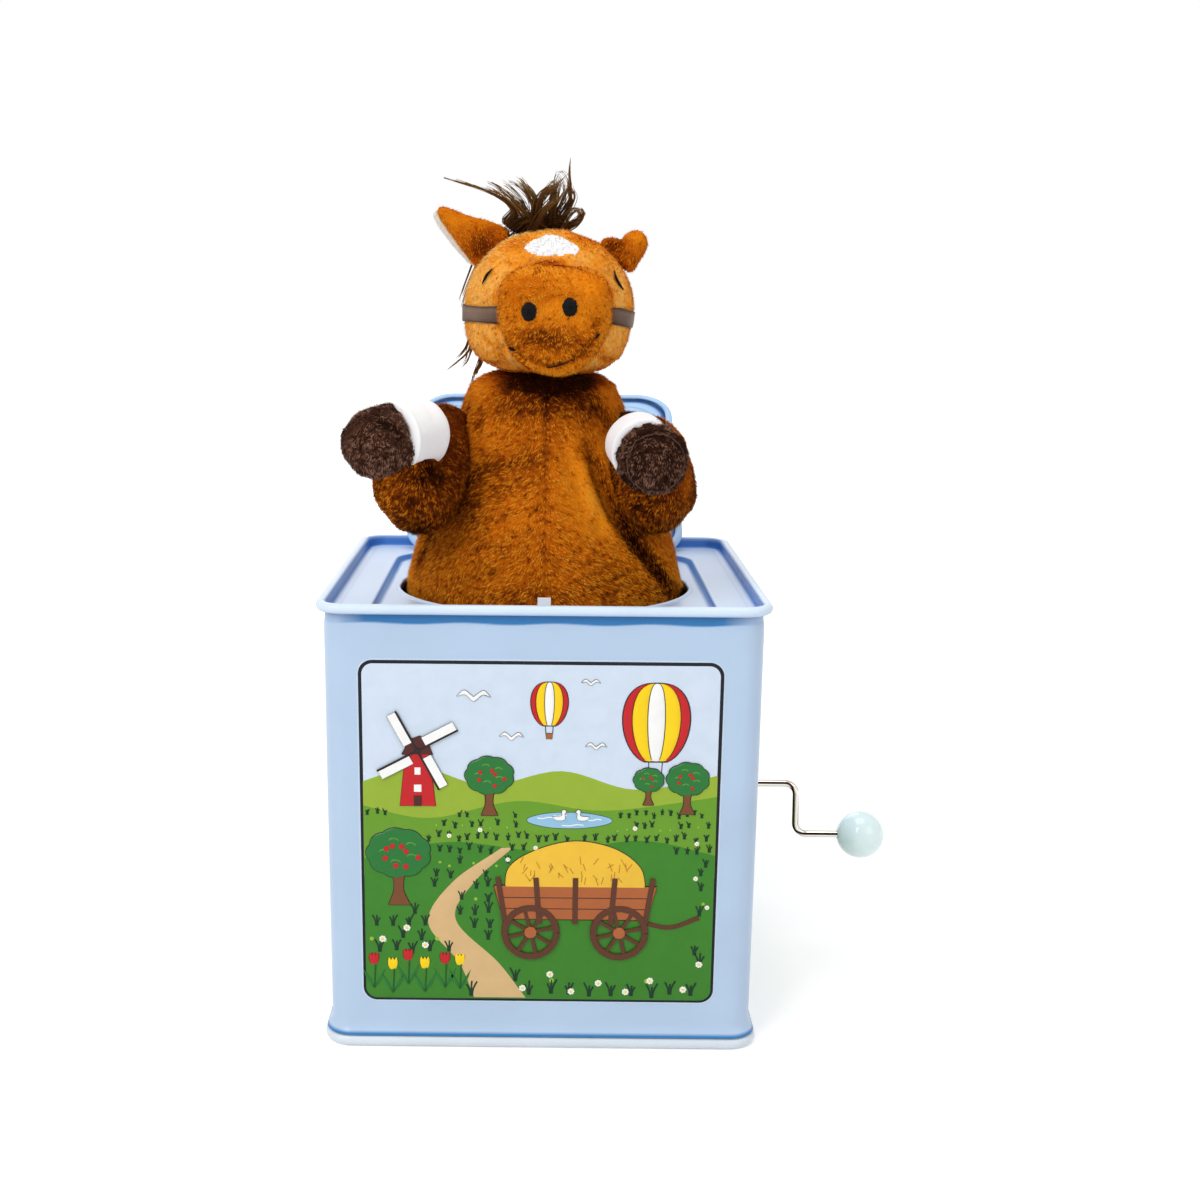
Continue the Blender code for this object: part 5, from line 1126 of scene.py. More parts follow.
def grass(panel, low, high, seed, clear):
    """Rows of short tufts of grass, smaller with distance, outside the outlines that are kept clear."""
    blades = np.random.default_rng(seed)
    rows = max(4, int((high - low) / 4.1))
    for row in range(rows):
        share = row / (rows - 1)
        y_row = low + (high - low) * share ** 0.92
        size = 5.4 * (1 - 0.60 * share)
        step = size * 1.22
        x = PANEL_LEFT + 2.5 + (row % 2) * step / 2
        while x < PANEL_RIGHT - 2.8:
            foot = (x + blades.uniform(-0.6, 0.6), y_row + blades.uniform(-0.8, 0.8))
            x += step
            if any(inside_outline(foot, outline) for outline in clear):
                continue
            if row % 3 == 1 and blades.random() < 0.3:
                panel.fill("blade_light", circle(foot, size * 0.16, 8), 0.5, 0.74, 0.05)
                continue
            for side in (-0.9, 0.1, 0.95):
                reach = size * blades.uniform(0.6, 1.0)
                blade = [
                    (foot[0] + side * 0.36, foot[1]), (foot[0] + side * reach * 0.14, foot[1] + reach * 0.5),
                    (foot[0] + side * reach * 0.40, foot[1] + reach),
                ]
                panel.line("blade", flat_path(blade, 2), 0.62 * (1 - 0.45 * share), 0.55, 0.76)


def pond(panel, x, y, size):
    """A pond with ripples and a pair of white ducks."""
    bank = [(a * (1 + 0.06 * math.sin(5 * a + 2)), b) for a, b in circle((0, 0), 1, 48, 0.2)]
    panel.outlined("water", moved_to(x, y, size)(bank), 0.5, 0.66, 0.12, 0.4)
    for across, up, reach in ((-0.55, 0.06, 0.2), (0.1, -0.12, 0.26), (0.62, 0.02, 0.16), (-0.2, 0.12, 0.16)):
        wave = [
            (x + size * (across + share * reach), y + size * up + 0.25 * math.sin(3 * share))
            for share in (-1, -0.3, 0.4, 1)
        ]
        panel.line("white", flat_path(wave, 3), 0.34, 0.6, 0.72)
    duck = flat_path([
        (-1.0, 0.42), (-0.7, 0.05), (0.0, -0.12), (0.75, 0.02), (0.86, 0.5), (0.8, 0.95), (1.0, 1.2),
        (0.86, 1.5), (0.5, 1.52), (0.36, 1.2), (0.42, 0.75), (0.1, 0.55), (-0.5, 0.5),
    ], 3)
    beak = [(0.98, 1.34), (1.36, 1.2), (0.96, 1.12)]
    for across, turn in ((-0.22, 1), (0.34, -1)):
        at = moved_to(x + size * across, y + size * 0.02, size * 0.16)
        panel.outlined("white", at([(turn * a, b) for a, b in duck]), 0.6, 0.95, 0.06, 0.24)
        panel.fill("wicker", at([(turn * a, b) for a, b in beak]), 0.8, 1.02, 0.02)


FRONT_DRAWINGS = [
    (balloon, 36, 112, 11.5), (balloon, 2, 118, 6.4), (gull, -22, 120, 5.4), (gull, -10, 107, 3.9),
    (gull, 17, 104, 3.4), (gull, 15, 125, 3.0), (pond, 8.5, 79.5, 13.5), (windmill, -40, 84, 16),
    (apple_tree, -17, 81, 12, 6), (apple_tree, 46.5, 82, 10.5, 5), (apple_tree, 34, 85, 7.5, 4),
    (apple_tree, -46.4, 50, 16, 8), (wagon, 11, 39, 25),
]
FRONT_CLEAR = [
    [(-14, 24), (50, 24), (50, 64), (32, 72), (2, 72), (-14, 62)], box(-60, 47, -37, 78),
    box(-50, 79, -30, 110), box(-24, 78, -10, 100), [(-60, 16), (-24, 16), (-28, 32), (-60, 32)],
    box(38, 37, 56, 44), box(-7, 75, 24, 84),
]
FRONT_DAISIES = [
    (-6, 21), (3, 26), (10, 20), (19, 23), (28, 20), (36, 24), (47, 21), (52, 30), (-11, 66), (50, 60),
    (54, 50), (-20, 76), (-2, 70), (30, 77), (-52, 38), (-44, 42), (-38, 36), (-30, 74), (50, 72),
]


def make_front_panel():
    panel = Panel(0)
    panel_frame(panel)
    hills(
        panel, [(-58, 92), (-40, 97), (-18, 91), (6, 96), (30, 90), (57, 95)], 60,
        [(-58, 84), (-36, 80), (-8, 86), (20, 83), (57, 88)],
        [(-58, 66), (-30, 72), (2, 69), (32, 73), (57, 68)], 0.3,
    )
    path = flat_path([(-22, 17.6), (-27, 30), (-37, 44), (-29, 58), (-13, 70)])
    path += flat_path([(-9.5, 70), (-22, 58), (-28, 45), (-14, 30), (-5, 17.6)])
    panel.fill("path", path, 0.55, 0.68, 0.2)
    for draw, *place in FRONT_DRAWINGS:
        draw(panel, *place)
    grass(panel, 18.5, 81, 5, [path] + FRONT_CLEAR)
    tulips(panel, 6, -54.5, 5.6, 18.8, 12.0, 0.6, 3.5, 11)
    for x, y in FRONT_DAISIES:
        daisy(panel, x, y, 1.25 if y < 50 else 0.85)
    panel.finish()


# The other walls: side, crest of the hills, seed, drawings and what the grass keeps clear of
OTHER_PANELS = [
    (1, 62, 15, [(balloon, -24, 104, 12), (windmill, 36, 56, 18), (apple_tree, -38, 40, 20, 9),
                 (apple_tree, 4, 50, 10, 5), (pond, 20, 37, 19)], [box(-2, 31, 42, 43)]),
    (2, 78, 16, [(apple_tree, -32, 52, 24, 11), (wagon, 22, 40, 20), (balloon, 20, 112, 8)],
     [box(-4, 28, 48, 64), box(-42, 50, -22, 70)]),
    (3, 46, 17, [(balloon, 36, 114, 8), (windmill, -42, 46, 14), (apple_tree, 44, 32, 13, 6),
                 (pond, -2, 34, 17)], [box(-22, 29, 18, 40)]),
]
OTHER_GULLS = [(gull, -34, 121, 5.0), (gull, 0, 117, 3.8), (gull, 12, 123, 3.2)]


def make_other_panel(side, crest, seed, drawings, clear):
    """A quieter view in the same colours, with the crank's bush in clear sky."""
    panel = Panel(side)
    panel_frame(panel)
    far, middle, near = (
        [(x, crest + rise) for x, rise in line] for line in (
            [(-58, 0), (-30, 7), (0, 0), (30, 6), (57, 1)], [(-58, -12), (-20, -6), (20, -11), (57, -5)],
            [(-58, -22), (-24, -26), (12, -20), (57, -25)],
        )
    )
    hills(panel, far, crest - 20, middle, near)
    for draw, *place in drawings + OTHER_GULLS:
        draw(panel, *place)
    grass(panel, 19, crest - 16, seed, clear)
    tulips(panel, 9, -52, 12.6, 18, 9, 1.5, 4, seed)
    panel.finish()


# Crank

CRANK_AXIS = 70.3
CRANK_LOW = CRANK_AXIS - 19.4
CRANK_BEND = 4.3
KNOB_X = 117.2
KNOB_RADIUS = 8.6


def crank_path():
    """The middle of the bent wire, from the wall to the knob."""
    corners = [Vector(place) for place in (
        (46.2, 0, CRANK_AXIS), (92.9, 0, CRANK_AXIS), (93.3, 0, CRANK_LOW), (118, 0, CRANK_LOW),
    )]
    points = [corners[0]] + [Vector((x, 0, CRANK_AXIS)) for x in (60, 75, 84)]
    for before, corner, after in zip(corners, corners[1:], corners[2:]):
        back, ahead = (before - corner).normalized(), (after - corner).normalized()
        half_angle = back.angle(ahead) / 2
        inward, across = (back + ahead).normalized(), (ahead - back).normalized()
        centre = corner + inward * (CRANK_BEND / math.sin(half_angle))
        sweep = math.pi / 2 - half_angle
        for step in range(11):
            angle = sweep * (2 * step / 10 - 1)
            points.append(centre + (across * math.sin(angle) - inward * math.cos(angle)) * CRANK_BEND)
    return points + [Vector((104, 0, CRANK_LOW)), corners[-1]]


def crank_painted_reflection(point, turn):
    """The painted reflection along the wire: a dark line, which turns with its arm, and the greys beside it.
    """
    arm = limited(min((CRANK_AXIS - point.z) / 2.6, (point.z - CRANK_LOW) / 2.6))
    middle = between(24 if point.z > 60 else 20, -60, arm)
    reflection_streak = math.exp(-((turn - middle) / between(20, 30, arm)) ** 4)
    below = 0.22 * (1 - arm) * limited((-turn - 14) / 40) + 0.22 * arm * max(0.0, 1 - abs(turn + 20) / 50)
    above = 0.42 * limited((turn - 56) / 16)
    return 1 - max(reflection_streak, min(0.5, max(below, above)))


def make_crank():
    """The wire and its ball, which is open where the wire goes in."""
    points, sides = crank_path(), 48
    mesh = mesh_of("crank_wire", tube([point * MM for point in points], [1.2 * MM] * len(points), sides), 50)
    degrees = [(360 * index / sides + 180) % 360 - 180 for index in range(sides)]
    # The wire's tone is its painted reflection
    set_layer(mesh, "tone", [crank_painted_reflection(point, turn) for point in points for turn in degrees])
    add_piece("crank_wire", mesh, CHROME, "crank", "crank_handle")
    ball = [(KNOB_RADIUS * sine, KNOB_RADIUS * cosine) for cosine, sine in arc(0, 180, 32)]
    across, up = Vector((0, 1, 0)), Vector((0, 0, 1))
    rings = [
        ring_round(Vector((KNOB_X + along, 0, CRANK_LOW)) * MM, across, up, radius * MM, 48)
        for radius, along in ball[:-2] + [(1.45, -8.2), (1.3, -7.4)]
    ]
    add_piece("crank_ball", mesh_of("crank_ball", loft(rings), 60), AQUA, "crank", "crank_knob")


# Puppet spring

def make_spring():
    """The coil is drawn again here, with a mesh of its own."""
    low, high, wire, turns, steps = 3.56, 201.99, 0.85, 14, 30
    foot_radius, head_radius = 18.96, 14.5
    closed = 3 * wire
    places = []
    for index in range(turns * steps + 1):
        share = index / (turns * steps)
        z = np.interp(share, [0, 1 / turns, 1 - 1 / turns, 1], [low, low + closed, high - closed, high])
        radius = between(foot_radius, head_radius, share)
        turn = 2 * math.pi * turns * share
        places.append(Vector((radius * math.cos(turn), HOLE_Y + radius * math.sin(turn), z)) * MM)
    mesh = mesh_of("spring_coil", tube(places, [wire * MM] * len(places), 10), 50)
    squash = ((0, 0, 1), (0, 0, 0.0027), 0.288)
    add_piece("spring_coil", mesh, STEEL, "root", "pop_spring", squash=squash)


# Horse body

# Height and radius, from the neck down
BODY_ROWS = [
    (219.4, 0.4), (219.0, 12), (217.6, 19.5), (214, 24.6), (208, 27.2), (199, 29.6), (189.6, 33.4),
    (175, 39.2), (160, 44.4), (148, 47.4), (139, 47.6), (128, 47.0), (110, 45.1), (80, 41.2), (40, 37.3),
    (4, 35.4),
]
BODY_HEIGHTS, BODY_RADII = zip(*BODY_ROWS[::-1])
# Folds are pixels along the crease, depth, width and the painted shade in the crease, a painted highlight on
# a ridge where it is below 0
BODY_FOLDS = [
    ([(590, 448), (602, 484), (614, 512), (632, 540), (652, 566), (678, 598)], 4.4, 2.3, 1.5),
    ([(578, 452), (588, 488), (601, 516), (618, 543), (636, 568), (660, 598)], -1.7, 2.6, -0.12),
    ([(640, 526), (656, 550), (670, 574), (686, 596)], -1.8, 1.7, -0.10),
    ([(452, 478), (438, 510), (428, 536), (419, 560), (412, 580)], 2.2, 2.4, 0.40),
    ([(592, 398), (604, 414), (616, 432)], 1.6, 2.4, 0.30),
    ([(548, 372), (547, 400), (546, 440), (545, 500), (544, 600)], 0.8, 0.9, 0.20),
    ([(500, 384), (520, 381), (548, 385), (578, 381), (600, 372)], 1.6, 3.4, 0.30),
    ([(476, 404), (480, 418), (474, 436)], 0.8, 1.6, 0.20),
    ([(452, 490), (480, 472), (515, 463), (545, 460)], 0.7, 2.2, 0.12),
    ([(470, 512), (490, 496), (520, 486), (545, 484)], 0.4, 1.4, 0.07),
    ([(498, 520), (520, 512), (545, 511)], 0.5, 1.6, 0.08),
    ([(572, 584), (600, 570), (622, 560)], 0.4, 0.8, 0.15),
    ([(584, 592), (612, 578), (634, 568)], 0.4, 0.8, 0.16),
    ([(562, 578), (588, 562), (610, 551)], 0.4, 0.8, 0.14),
    ([(602, 598), (624, 587), (644, 578)], 0.4, 0.8, 0.15),
    ([(552, 566), (576, 553), (598, 542)], 0.35, 0.8, 0.11),
    ([(596, 546), (610, 538), (622, 534)], 0.35, 0.8, 0.10),
    ([(440, 590), (470, 578), (500, 574)], 0.4, 1.4, 0.07),
]
# Spots of painted light and shade are a pixel, the reach across and down, and the change of tone
BODY_PAINTED_LIGHT_SPOTS = [
    (552, 377, 42, 15, -0.46), (556, 398, 50, 18, -0.20), (510, 410, 36, 16, -0.08), (478, 388, 14, 28, 0.24),
    (608, 390, 16, 28, 0.22), (588, 412, 16, 24, -0.12), (590, 458, 30, 40, 0.22), (602, 505, 22, 40, 0.30),
    (572, 510, 18, 40, 0.08), (500, 470, 44, 26, -0.04), (480, 560, 60, 40, -0.02), (638, 520, 18, 34, -0.26),
    (650, 590, 20, 8, -0.10), (678, 572, 8, 34, 0.14), (412, 590, 8, 30, 0.20), (520, 520, 30, 20, 0.06),
    (466, 500, 16, 30, -0.14), (545, 595, 90, 10, -0.10), (500, 440, 20, 16, 0.06), (560, 540, 30, 30, 0.03),
]
BODY_SQUASH = ((0, 0, 1), (0, 0, 0.004), 0.34)


def body_point(angle, z):
    """A point of the plush body's skin: angle in degrees from the front, positive to the right."""
    turn = math.radians(angle)
    sine, cosine = math.sin(turn), math.cos(turn)
    radius = np.interp(z, BODY_HEIGHTS, BODY_RADII)
    radius += noise.noise(Vector((sine * 2.2, cosine * 2.2, z * 0.035)))
    radius += 0.4 * noise.noise(Vector((sine * 7, cosine * 7, z * 0.11 + 9)))
    shift = -0.9 * limited((z - 185) / 20)
    return Vector((radius * sine + shift, HOLE_Y - radius * cosine, z)) * MM


def make_body():
    """Only the part above the tin's mouth has pile."""
    levels = [219.4, 219.1, 218.2, 216.8] + list(np.arange(215, 126, -1.0)) + list(np.linspace(122, 3.2, 22))
    rings = [[body_point(angle, z) for angle in np.linspace(-180, 180, 221)[:-1]] for z in levels]
    bare = mesh_of("coat_body", loft(rings, caps=(0,)))
    mesh = coated(
        bare, BODY_FOLDS, (3.4, 1.5, 0.29, 68), brushed(1.0, 30, 0.5), 21, (0.565, BODY_PAINTED_LIGHT_SPOTS, 1.0), 1.2,
        lambda places: places[:, 2] > 0.128,
    )
    add_piece("coat_body", mesh, COAT, "root", "plush_body", BODY_SQUASH)


# Horse head

HEAD_CENTRE = Vector((0.6, -10.0, 239.8))
HEAD_SIZE = Vector((28.3, 26.5, 25.6))
# Spots of painted light and shade on the head
HEAD_PAINTED_LIGHT_SPOTS = [
    (500, 262, 22, 24, 0.00), (555, 240, 60, 14, 0.02), (487, 350, 24, 20, -0.08), (612, 352, 16, 18, -0.07),
    (548, 264, 36, 6, -0.22), (600, 268, 14, 14, -0.06), (487, 336, 26, 10, -0.02), (606, 262, 10, 20, -0.10),
    (468, 316, 5, 40, -0.10), (630, 300, 5, 60, -0.14), (512, 242, 26, 13, -0.32), (590, 238, 22, 10, -0.24),
    (478, 330, 14, 12, 0.05), (548, 374, 70, 8, -0.16), (486, 262, 12, 10, -0.10),
]
HEAD_FOLDS = [
    ([(534, 264.5), (542, 262.8), (552, 262.3), (562, 264)], 0.6, 0.7, 0.3),
    ([(500, 286), (497, 300), (497, 318), (500, 332)], 1.0, 1.3, 0.30),
    ([(609, 284), (611.5, 300), (611, 316), (606, 330)], 1.0, 1.3, 0.30),
    ([(505, 344), (500, 352), (503, 364)], 0.8, 1.4, 0.28),
    ([(476, 358), (490, 363), (508, 366)], 0.8, 1.6, 0.30),
    ([(598, 350), (606, 360), (616, 364)], 0.8, 1.6, 0.30),
    ([(493, 352), (487, 342), (478, 334)], 0.4, 1.4, 0.10),
]
STAR = [
    (524.1, 248), (527.1, 244.1), (533, 240), (540, 237.4), (546, 235), (553.2, 234.6), (562.4, 237.3),
    (569, 241.2), (573, 243.4), (577.7, 246.4), (579.2, 251.8), (575.4, 254.4), (563.9, 254.8),
    (550, 255.6), (541, 255.6), (533.3, 254), (527.1, 251),
]


def head_point(u, v):
    """A point of the head: u round from the front, v from the crown down, both in radians."""
    place = Vector((math.sin(v) * math.sin(u), -math.sin(v) * math.cos(u), math.cos(v)))
    power = 2.3 + 1.3 * limited(-place.z * 1.6)
    place /= sum(abs(part) ** power for part in place) ** (1 / power)
    crown = 1 - 0.13 * max(0.0, place.z) ** 1.5 - 0.085 * max(0.0, -place.z) ** 1.1
    tall = HEAD_SIZE.z - (0.9 if place.z > 0 else 4.5)
    point = Vector((place.x * crown * HEAD_SIZE.x, place.y * HEAD_SIZE.y, place.z * tall)) + HEAD_CENTRE
    return (point + place.normalized() * ripple(point, 0.085, 0.8, 0.25, 0.3)) * MM


def paint_star(mesh):
    """Gives the white star on the forehead its own material."""
    for face in mesh.polygons:
        centre = sum((mesh.vertices[index].co for index in face.vertices), Vector()) / len(face.vertices)
        if centre.y < -0.004 and centre.z > 0.25 and inside_outline(pixels_of(np.array(centre)), STAR):
            face.material_index = 1


def make_head():
    """Adds the head and gives back its bare skin, which other pieces are laid on."""
    rows = 116
    rings = [[head_point(turn, math.pi * row / rows) for turn in round_turn(200)] for row in range(1, rows)]
    bare = mesh_of("coat_head", loft(rings, caps=BOTH_ENDS))
    # The head's high base is painted light, and its last value paints shade on the back of the head
    tone = (0.945, HEAD_PAINTED_LIGHT_SPOTS, 2.0, 0.34)
    mesh = coated(bare, HEAD_FOLDS, (3.6, 1.15, 0.29, 64), brushed(0.9, 30), 22, tone, 1.15)
    add_piece("coat_head", mesh, COAT_PAINTED_LIT, "puppet", "plush_head")
    mesh.materials.append(BLAZE)
    paint_star(mesh)
    return bare


# Muzzle's height and half width, from the top down
MUZZLE_WIDTHS = [
    (16.4, 0.5), (16.3, 5.0), (16.0, 8.6), (15.2, 11.6), (14.2, 13.6), (12.9, 15.4), (11.5, 16.4),
    (8.6, 17.2), (5.7, 17.4), (2.8, 17.3), (-0.1, 17.0), (-3.0, 16.4), (-5.9, 15.2), (-7.4, 14.4),
    (-10.3, 12.8), (-13.0, 10.2), (-14.9, 7.2), (-16.0, 4.0), (-16.4, 0.4),
]
MUZZLE_CENTRE = Vector((2.5, 0, 236.5))
MUZZLE_HALF_HEIGHT = 16.4
MUZZLE_REAR, MUZZLE_BROW, MUZZLE_DOME = -14, 27, 10.5
MUZZLE_SIDE_SHARE = 0.4
# Spots of painted light and shade on the muzzle
MUZZLE_PAINTED_LIGHT_SPOTS = [
    (555, 272, 50, 9, -0.02), (555, 345, 34, 12, -0.34), (508, 322, 9, 22, -0.08), (520, 338, 16, 10, -0.16),
    (596, 322, 10, 16, -0.10), (590, 282, 14, 16, 0.10), (550, 312, 12, 10, 0.10), (604, 300, 5, 24, 0.10),
    (545, 372, 40, 6, 0.14), (530, 286, 28, 12, -0.06), (575, 374, 20, 5, -0.10), (550, 329, 30, 6, -0.15),
]
MUZZLE_FOLDS = [
    ([(508, 343), (517, 352), (530, 360), (552, 366.5), (574, 360), (589, 346), (598, 333)], 1.3, 1.25, 0.30),
    ([(515, 300), (530, 302), (552, 300), (580, 297)], 0.3, 1.6, 0.05),
    ([(524, 340), (545, 336), (566, 338), (584, 332)], 0.4, 1.8, 0.10),
    ([(556, 292), (558, 304), (554, 318)], -0.2, 1.6, -0.06),
]


def muzzle_outline():
    heights, widths = zip(*MUZZLE_WIDTHS[::-1])
    levels = [MUZZLE_HALF_HEIGHT * cosine for cosine, _ in arc(0, 180, 30)]
    half = [(np.interp(level, heights, widths), level) for level in levels]
    full = half + [(-wide, level) for wide, level in half[-2:0:-1]]
    return flat_path(full + full[:1], 3)[:-1]


def make_muzzle():
    """The muzzle is sewn on: boxy at its top, narrow at the chin, with a softly crowned front."""
    outline = muzzle_outline()
    rings = []
    for share in np.linspace(0, 1, 54):
        if share < MUZZLE_SIDE_SHARE:
            along = share / MUZZLE_SIDE_SHARE
            y = MUZZLE_REAR - along * MUZZLE_BROW
            scale = 0.97 + 0.05 * math.sin(math.pi * along / 2)
        else:
            turn = (share - MUZZLE_SIDE_SHARE) / (1 - MUZZLE_SIDE_SHARE) * math.pi / 2
            y = MUZZLE_REAR - MUZZLE_BROW - MUZZLE_DOME * math.sin(turn)
            scale = 1.02 * max(0.012, math.cos(turn)) ** 0.42
        ring = []
        for x, z in outline:
            point = MUZZLE_CENTRE + Vector((x * scale, y, z * scale - 0.06 * (-y - 30)))
            spread = Vector((x, 0, z)).normalized() if abs(x) + abs(z) > 0.1 else Vector((0, -1, 0))
            ring.append((point + spread * ripple(point, 0.12, 0.6, 0.4, 0.25) * scale) * MM)
        rings.append(ring)
    bare = mesh_of("coat_muzzle", loft(rings, caps=BOTH_ENDS))
    tone = (0.72, MUZZLE_PAINTED_LIGHT_SPOTS, 3.0)
    mesh = coated(bare, MUZZLE_FOLDS, (3.6, 1.2, 0.29, 62), brushed(0.5, 60), 23, tone, 1.15)
    add_piece("coat_muzzle", mesh, COAT, "puppet", "plush_muzzle")
    return bare


def on_surface(tree, pixel):
    """Where the line of sight through a photograph's pixel meets the plush, with its normal."""
    place, normal, _, _ = tree.ray_cast(CAMERA_PLACE, sight(pixel))
    if normal and normal.dot(sight(pixel)) > 0:
        normal = -normal
    return place, normal


# Embroidery: pixels along each line, its widths and how high it lies
STITCHES = {
    "eye_left": ([(493.6, 269.5), (489, 274.6), (486, 279.4), (483.8, 284.6)], [0.4, 0.85, 0.8, 0.35], 0.65),
    "eye_right": ([(612.8, 271.6), (614.4, 278), (617.6, 284.4), (622, 290.4)], [0.4, 0.85, 0.95, 0.4], 0.65),
    "smile": ([(546, 367), (555, 366), (563, 363.4), (574, 358)], [0.3, 0.5, 0.5, 0.3], 0.9),
    "stitch_left": ([(510.3, 346.8), (512.6, 348.6), (515, 350.6)], [0.7, 0.9, 0.7], 0.5),
    "stitch_right": ([(594.6, 336.8), (596.5, 335.4), (598.4, 333.8)], [0.6, 0.8, 0.6], 0.6),
    "seam_brow": ([(535, 264.6), (543, 263.2), (552, 262.9), (560, 264.2)], [0.12, 0.22, 0.22, 0.12], 0.9),
}


def stitched(name, tree, pixels, widths, rise):
    """An embroidered line laid on the plush."""
    path = flat_path(pixels, 6)
    spread = np.interp(np.linspace(0, 1, len(path)), np.linspace(0, 1, len(widths)), widths)
    places, radii = [], []
    for pixel, width in zip(path, spread):
        place, normal = on_surface(tree, pixel)
        if place is not None:
            places.append(place + normal * rise * MM)
            radii.append(width * MM / 2)
    add_piece(name, mesh_of(name, tube(places, radii, 8)), THREAD, "puppet")


def make_nostril(name, tree, pixel, radius):
    """A domed patch of stitches, drawn down onto the muzzle."""
    place, normal = on_surface(tree, pixel)
    side = normal.cross(Vector((0, 0, 1))).normalized()
    up = side.cross(normal).normalized()
    rings = []
    for step in range(10):
        share = step / 9
        ring = []
        for turn in round_turn(36):
            knots = 1 + 0.025 * math.sin(5 * turn + 1) + 0.02 * math.sin(11 * turn)
            reach = radius * math.cos(share * math.pi / 2 * 0.97) * knots
            lift = 1.2 * math.sin(share * math.pi / 2) + 0.1 + 0.12 * math.sin(7 * turn + 9 * share)
            across, along = reach * math.cos(turn) * 0.92, reach * math.sin(turn) * 1.12
            flat = place + (side * across + up * along) * MM
            ring.append(tree.find_nearest(flat)[0] + normal * lift * MM)
        rings.append(ring)
    low = [point - normal * 0.8 * MM for point in rings[0]]
    add_piece(name, mesh_of(name, loft([low] + rings, caps=BOTH_ENDS)), THREAD, "puppet")


# Halter: the turn of each step round the head, and the ribbon's upper and lower edge in the photograph
HALTER = {
    "left": (-5.5, [(463, 303.5), (470, 305.6), (484, 306.4), (500, 306.6)],
             [(468.5, 321.5), (474, 322), (486, 323), (501, 324.5)]),
    "right": (5.5, [(606, 306), (612, 307.3), (622, 309.4), (633.5, 312.5)],
              [(605, 322.8), (611, 324.2), (620, 326), (629.8, 328)]),
}
RIBBON_RISE = 0.8 * MM
# Tone across the ribbon, from its upper to its lower edge
RIBBON_TONES = [0.0, 0.5, 0.72, 0.66, 0.62, 0.58, 0.55, 0.42, 0.0]


def cheek_columns(tree, upper, lower):
    """Rows of places across the ribbon where the photograph shows it."""
    columns = []
    for top, foot in zip(flat_path(upper), flat_path(lower)):
        shares = np.linspace(0, 1, len(RIBBON_TONES))
        hits = [on_surface(tree, Vector(top).lerp(Vector(foot), share)) for share in shares]
        if all(place is not None for place, _ in hits):
            columns.append([place + normal * RIBBON_RISE for place, normal in hits])
    return columns


def carried_round(columns, tree, degrees):
    """Carries the ribbon on from its last column, round the side of the head towards the mane."""
    centre = HEAD_CENTRE * MM
    made = list(columns)
    for step in range(1, 20):
        turn = Matrix.Rotation(math.radians(degrees * step), 3, "Z")
        column = []
        for place in columns[-1]:
            away = place - centre
            flat = turn @ Vector((away.x, away.y, 0))
            probe = centre + flat * 1.6 + Vector((0, 0, away.z))
            hit = tree.ray_cast(probe, -flat.normalized())[0]
            if hit is None:
                hit = probe
            column.append(hit + flat.normalized() * RIBBON_RISE)
        made.append(column)
    return made


def make_halter(tree):
    """A ribbon on each cheek, its columns counted from left to right."""
    for side, (degrees, upper, lower) in HALTER.items():
        columns = cheek_columns(tree, upper, lower)
        if side == "left":
            columns = carried_round(columns[::-1], tree, degrees)[::-1]
        else:
            columns = carried_round(columns, tree, degrees)
        name = "halter_" + side
        mesh = mesh_of(name, loft(columns, close_round=False))
        # A painted highlight along each ribbon
        glow = [0.22 * math.exp(-((index - len(columns) * 0.62) / 6.0) ** 2) for index in range(len(columns))]
        set_layer(mesh, "pile", [tone + shine for shine in glow for tone in RIBBON_TONES])
        thicken(add_piece(name, mesh, RIBBON, "puppet", "halter_strap_" + side), 0.5)


# Ears: outlines in the photograph

LEFT_EAR = [
    (438.5, 207.5), (443, 206.6), (450, 208.5), (470, 216), (492, 222), (509, 231), (504, 246), (492, 258),
    (477, 266), (466, 255), (456, 241), (445, 226), (438, 214),
]
RIGHT_EAR = [
    (600, 244), (604, 238.6), (612, 237.6), (621, 239.2), (626.6, 233.8), (634.3, 230.4), (641, 231.6),
    (646, 236.6), (647.6, 244), (645.4, 251.6), (640.4, 260.2), (632, 271.6), (622, 268), (610, 258),
]
# The pale lining shows along the left ear's outer edge, so its outline is that ear's, moved out
LINING_EDGE = [(477, 264), (464, 254), (454, 242), (442, 226), (436, 214)]
LEFT_LINING = [(x - 2.6, y + 1.8) for x, y in LEFT_EAR[:-5] + LINING_EDGE]
EAR_BRUSH = brushed(1.0, 30)
# Name, node, outline, depth, thickness, spots of painted light and shade, and folds
EARS = [
    ("ear_leaf_left", "ear_left", LEFT_EAR, -10.5, 3.0,
     [(485, 245, 20, 16, -0.24), (452, 218, 16, 10, 0.10), (470, 250, 10, 10, -0.08)],
     [([(504, 226), (488, 236), (474, 256)], 0.5, 1.6, 0.10)]),
    ("ear_leaf_right", "ear_right", RIGHT_EAR, -11.5, 4.2,
     [(636, 240, 10, 10, 0.16), (612, 246, 12, 8, -0.14), (622, 262, 12, 8, -0.14), (638, 258, 8, 8, -0.05)],
     [([(604, 243), (614, 247), (624, 252)], 0.9, 1.6, 0.24),
      ([(622, 240), (627, 246), (628, 254)], 0.6, 1.3, 0.12)]),
]


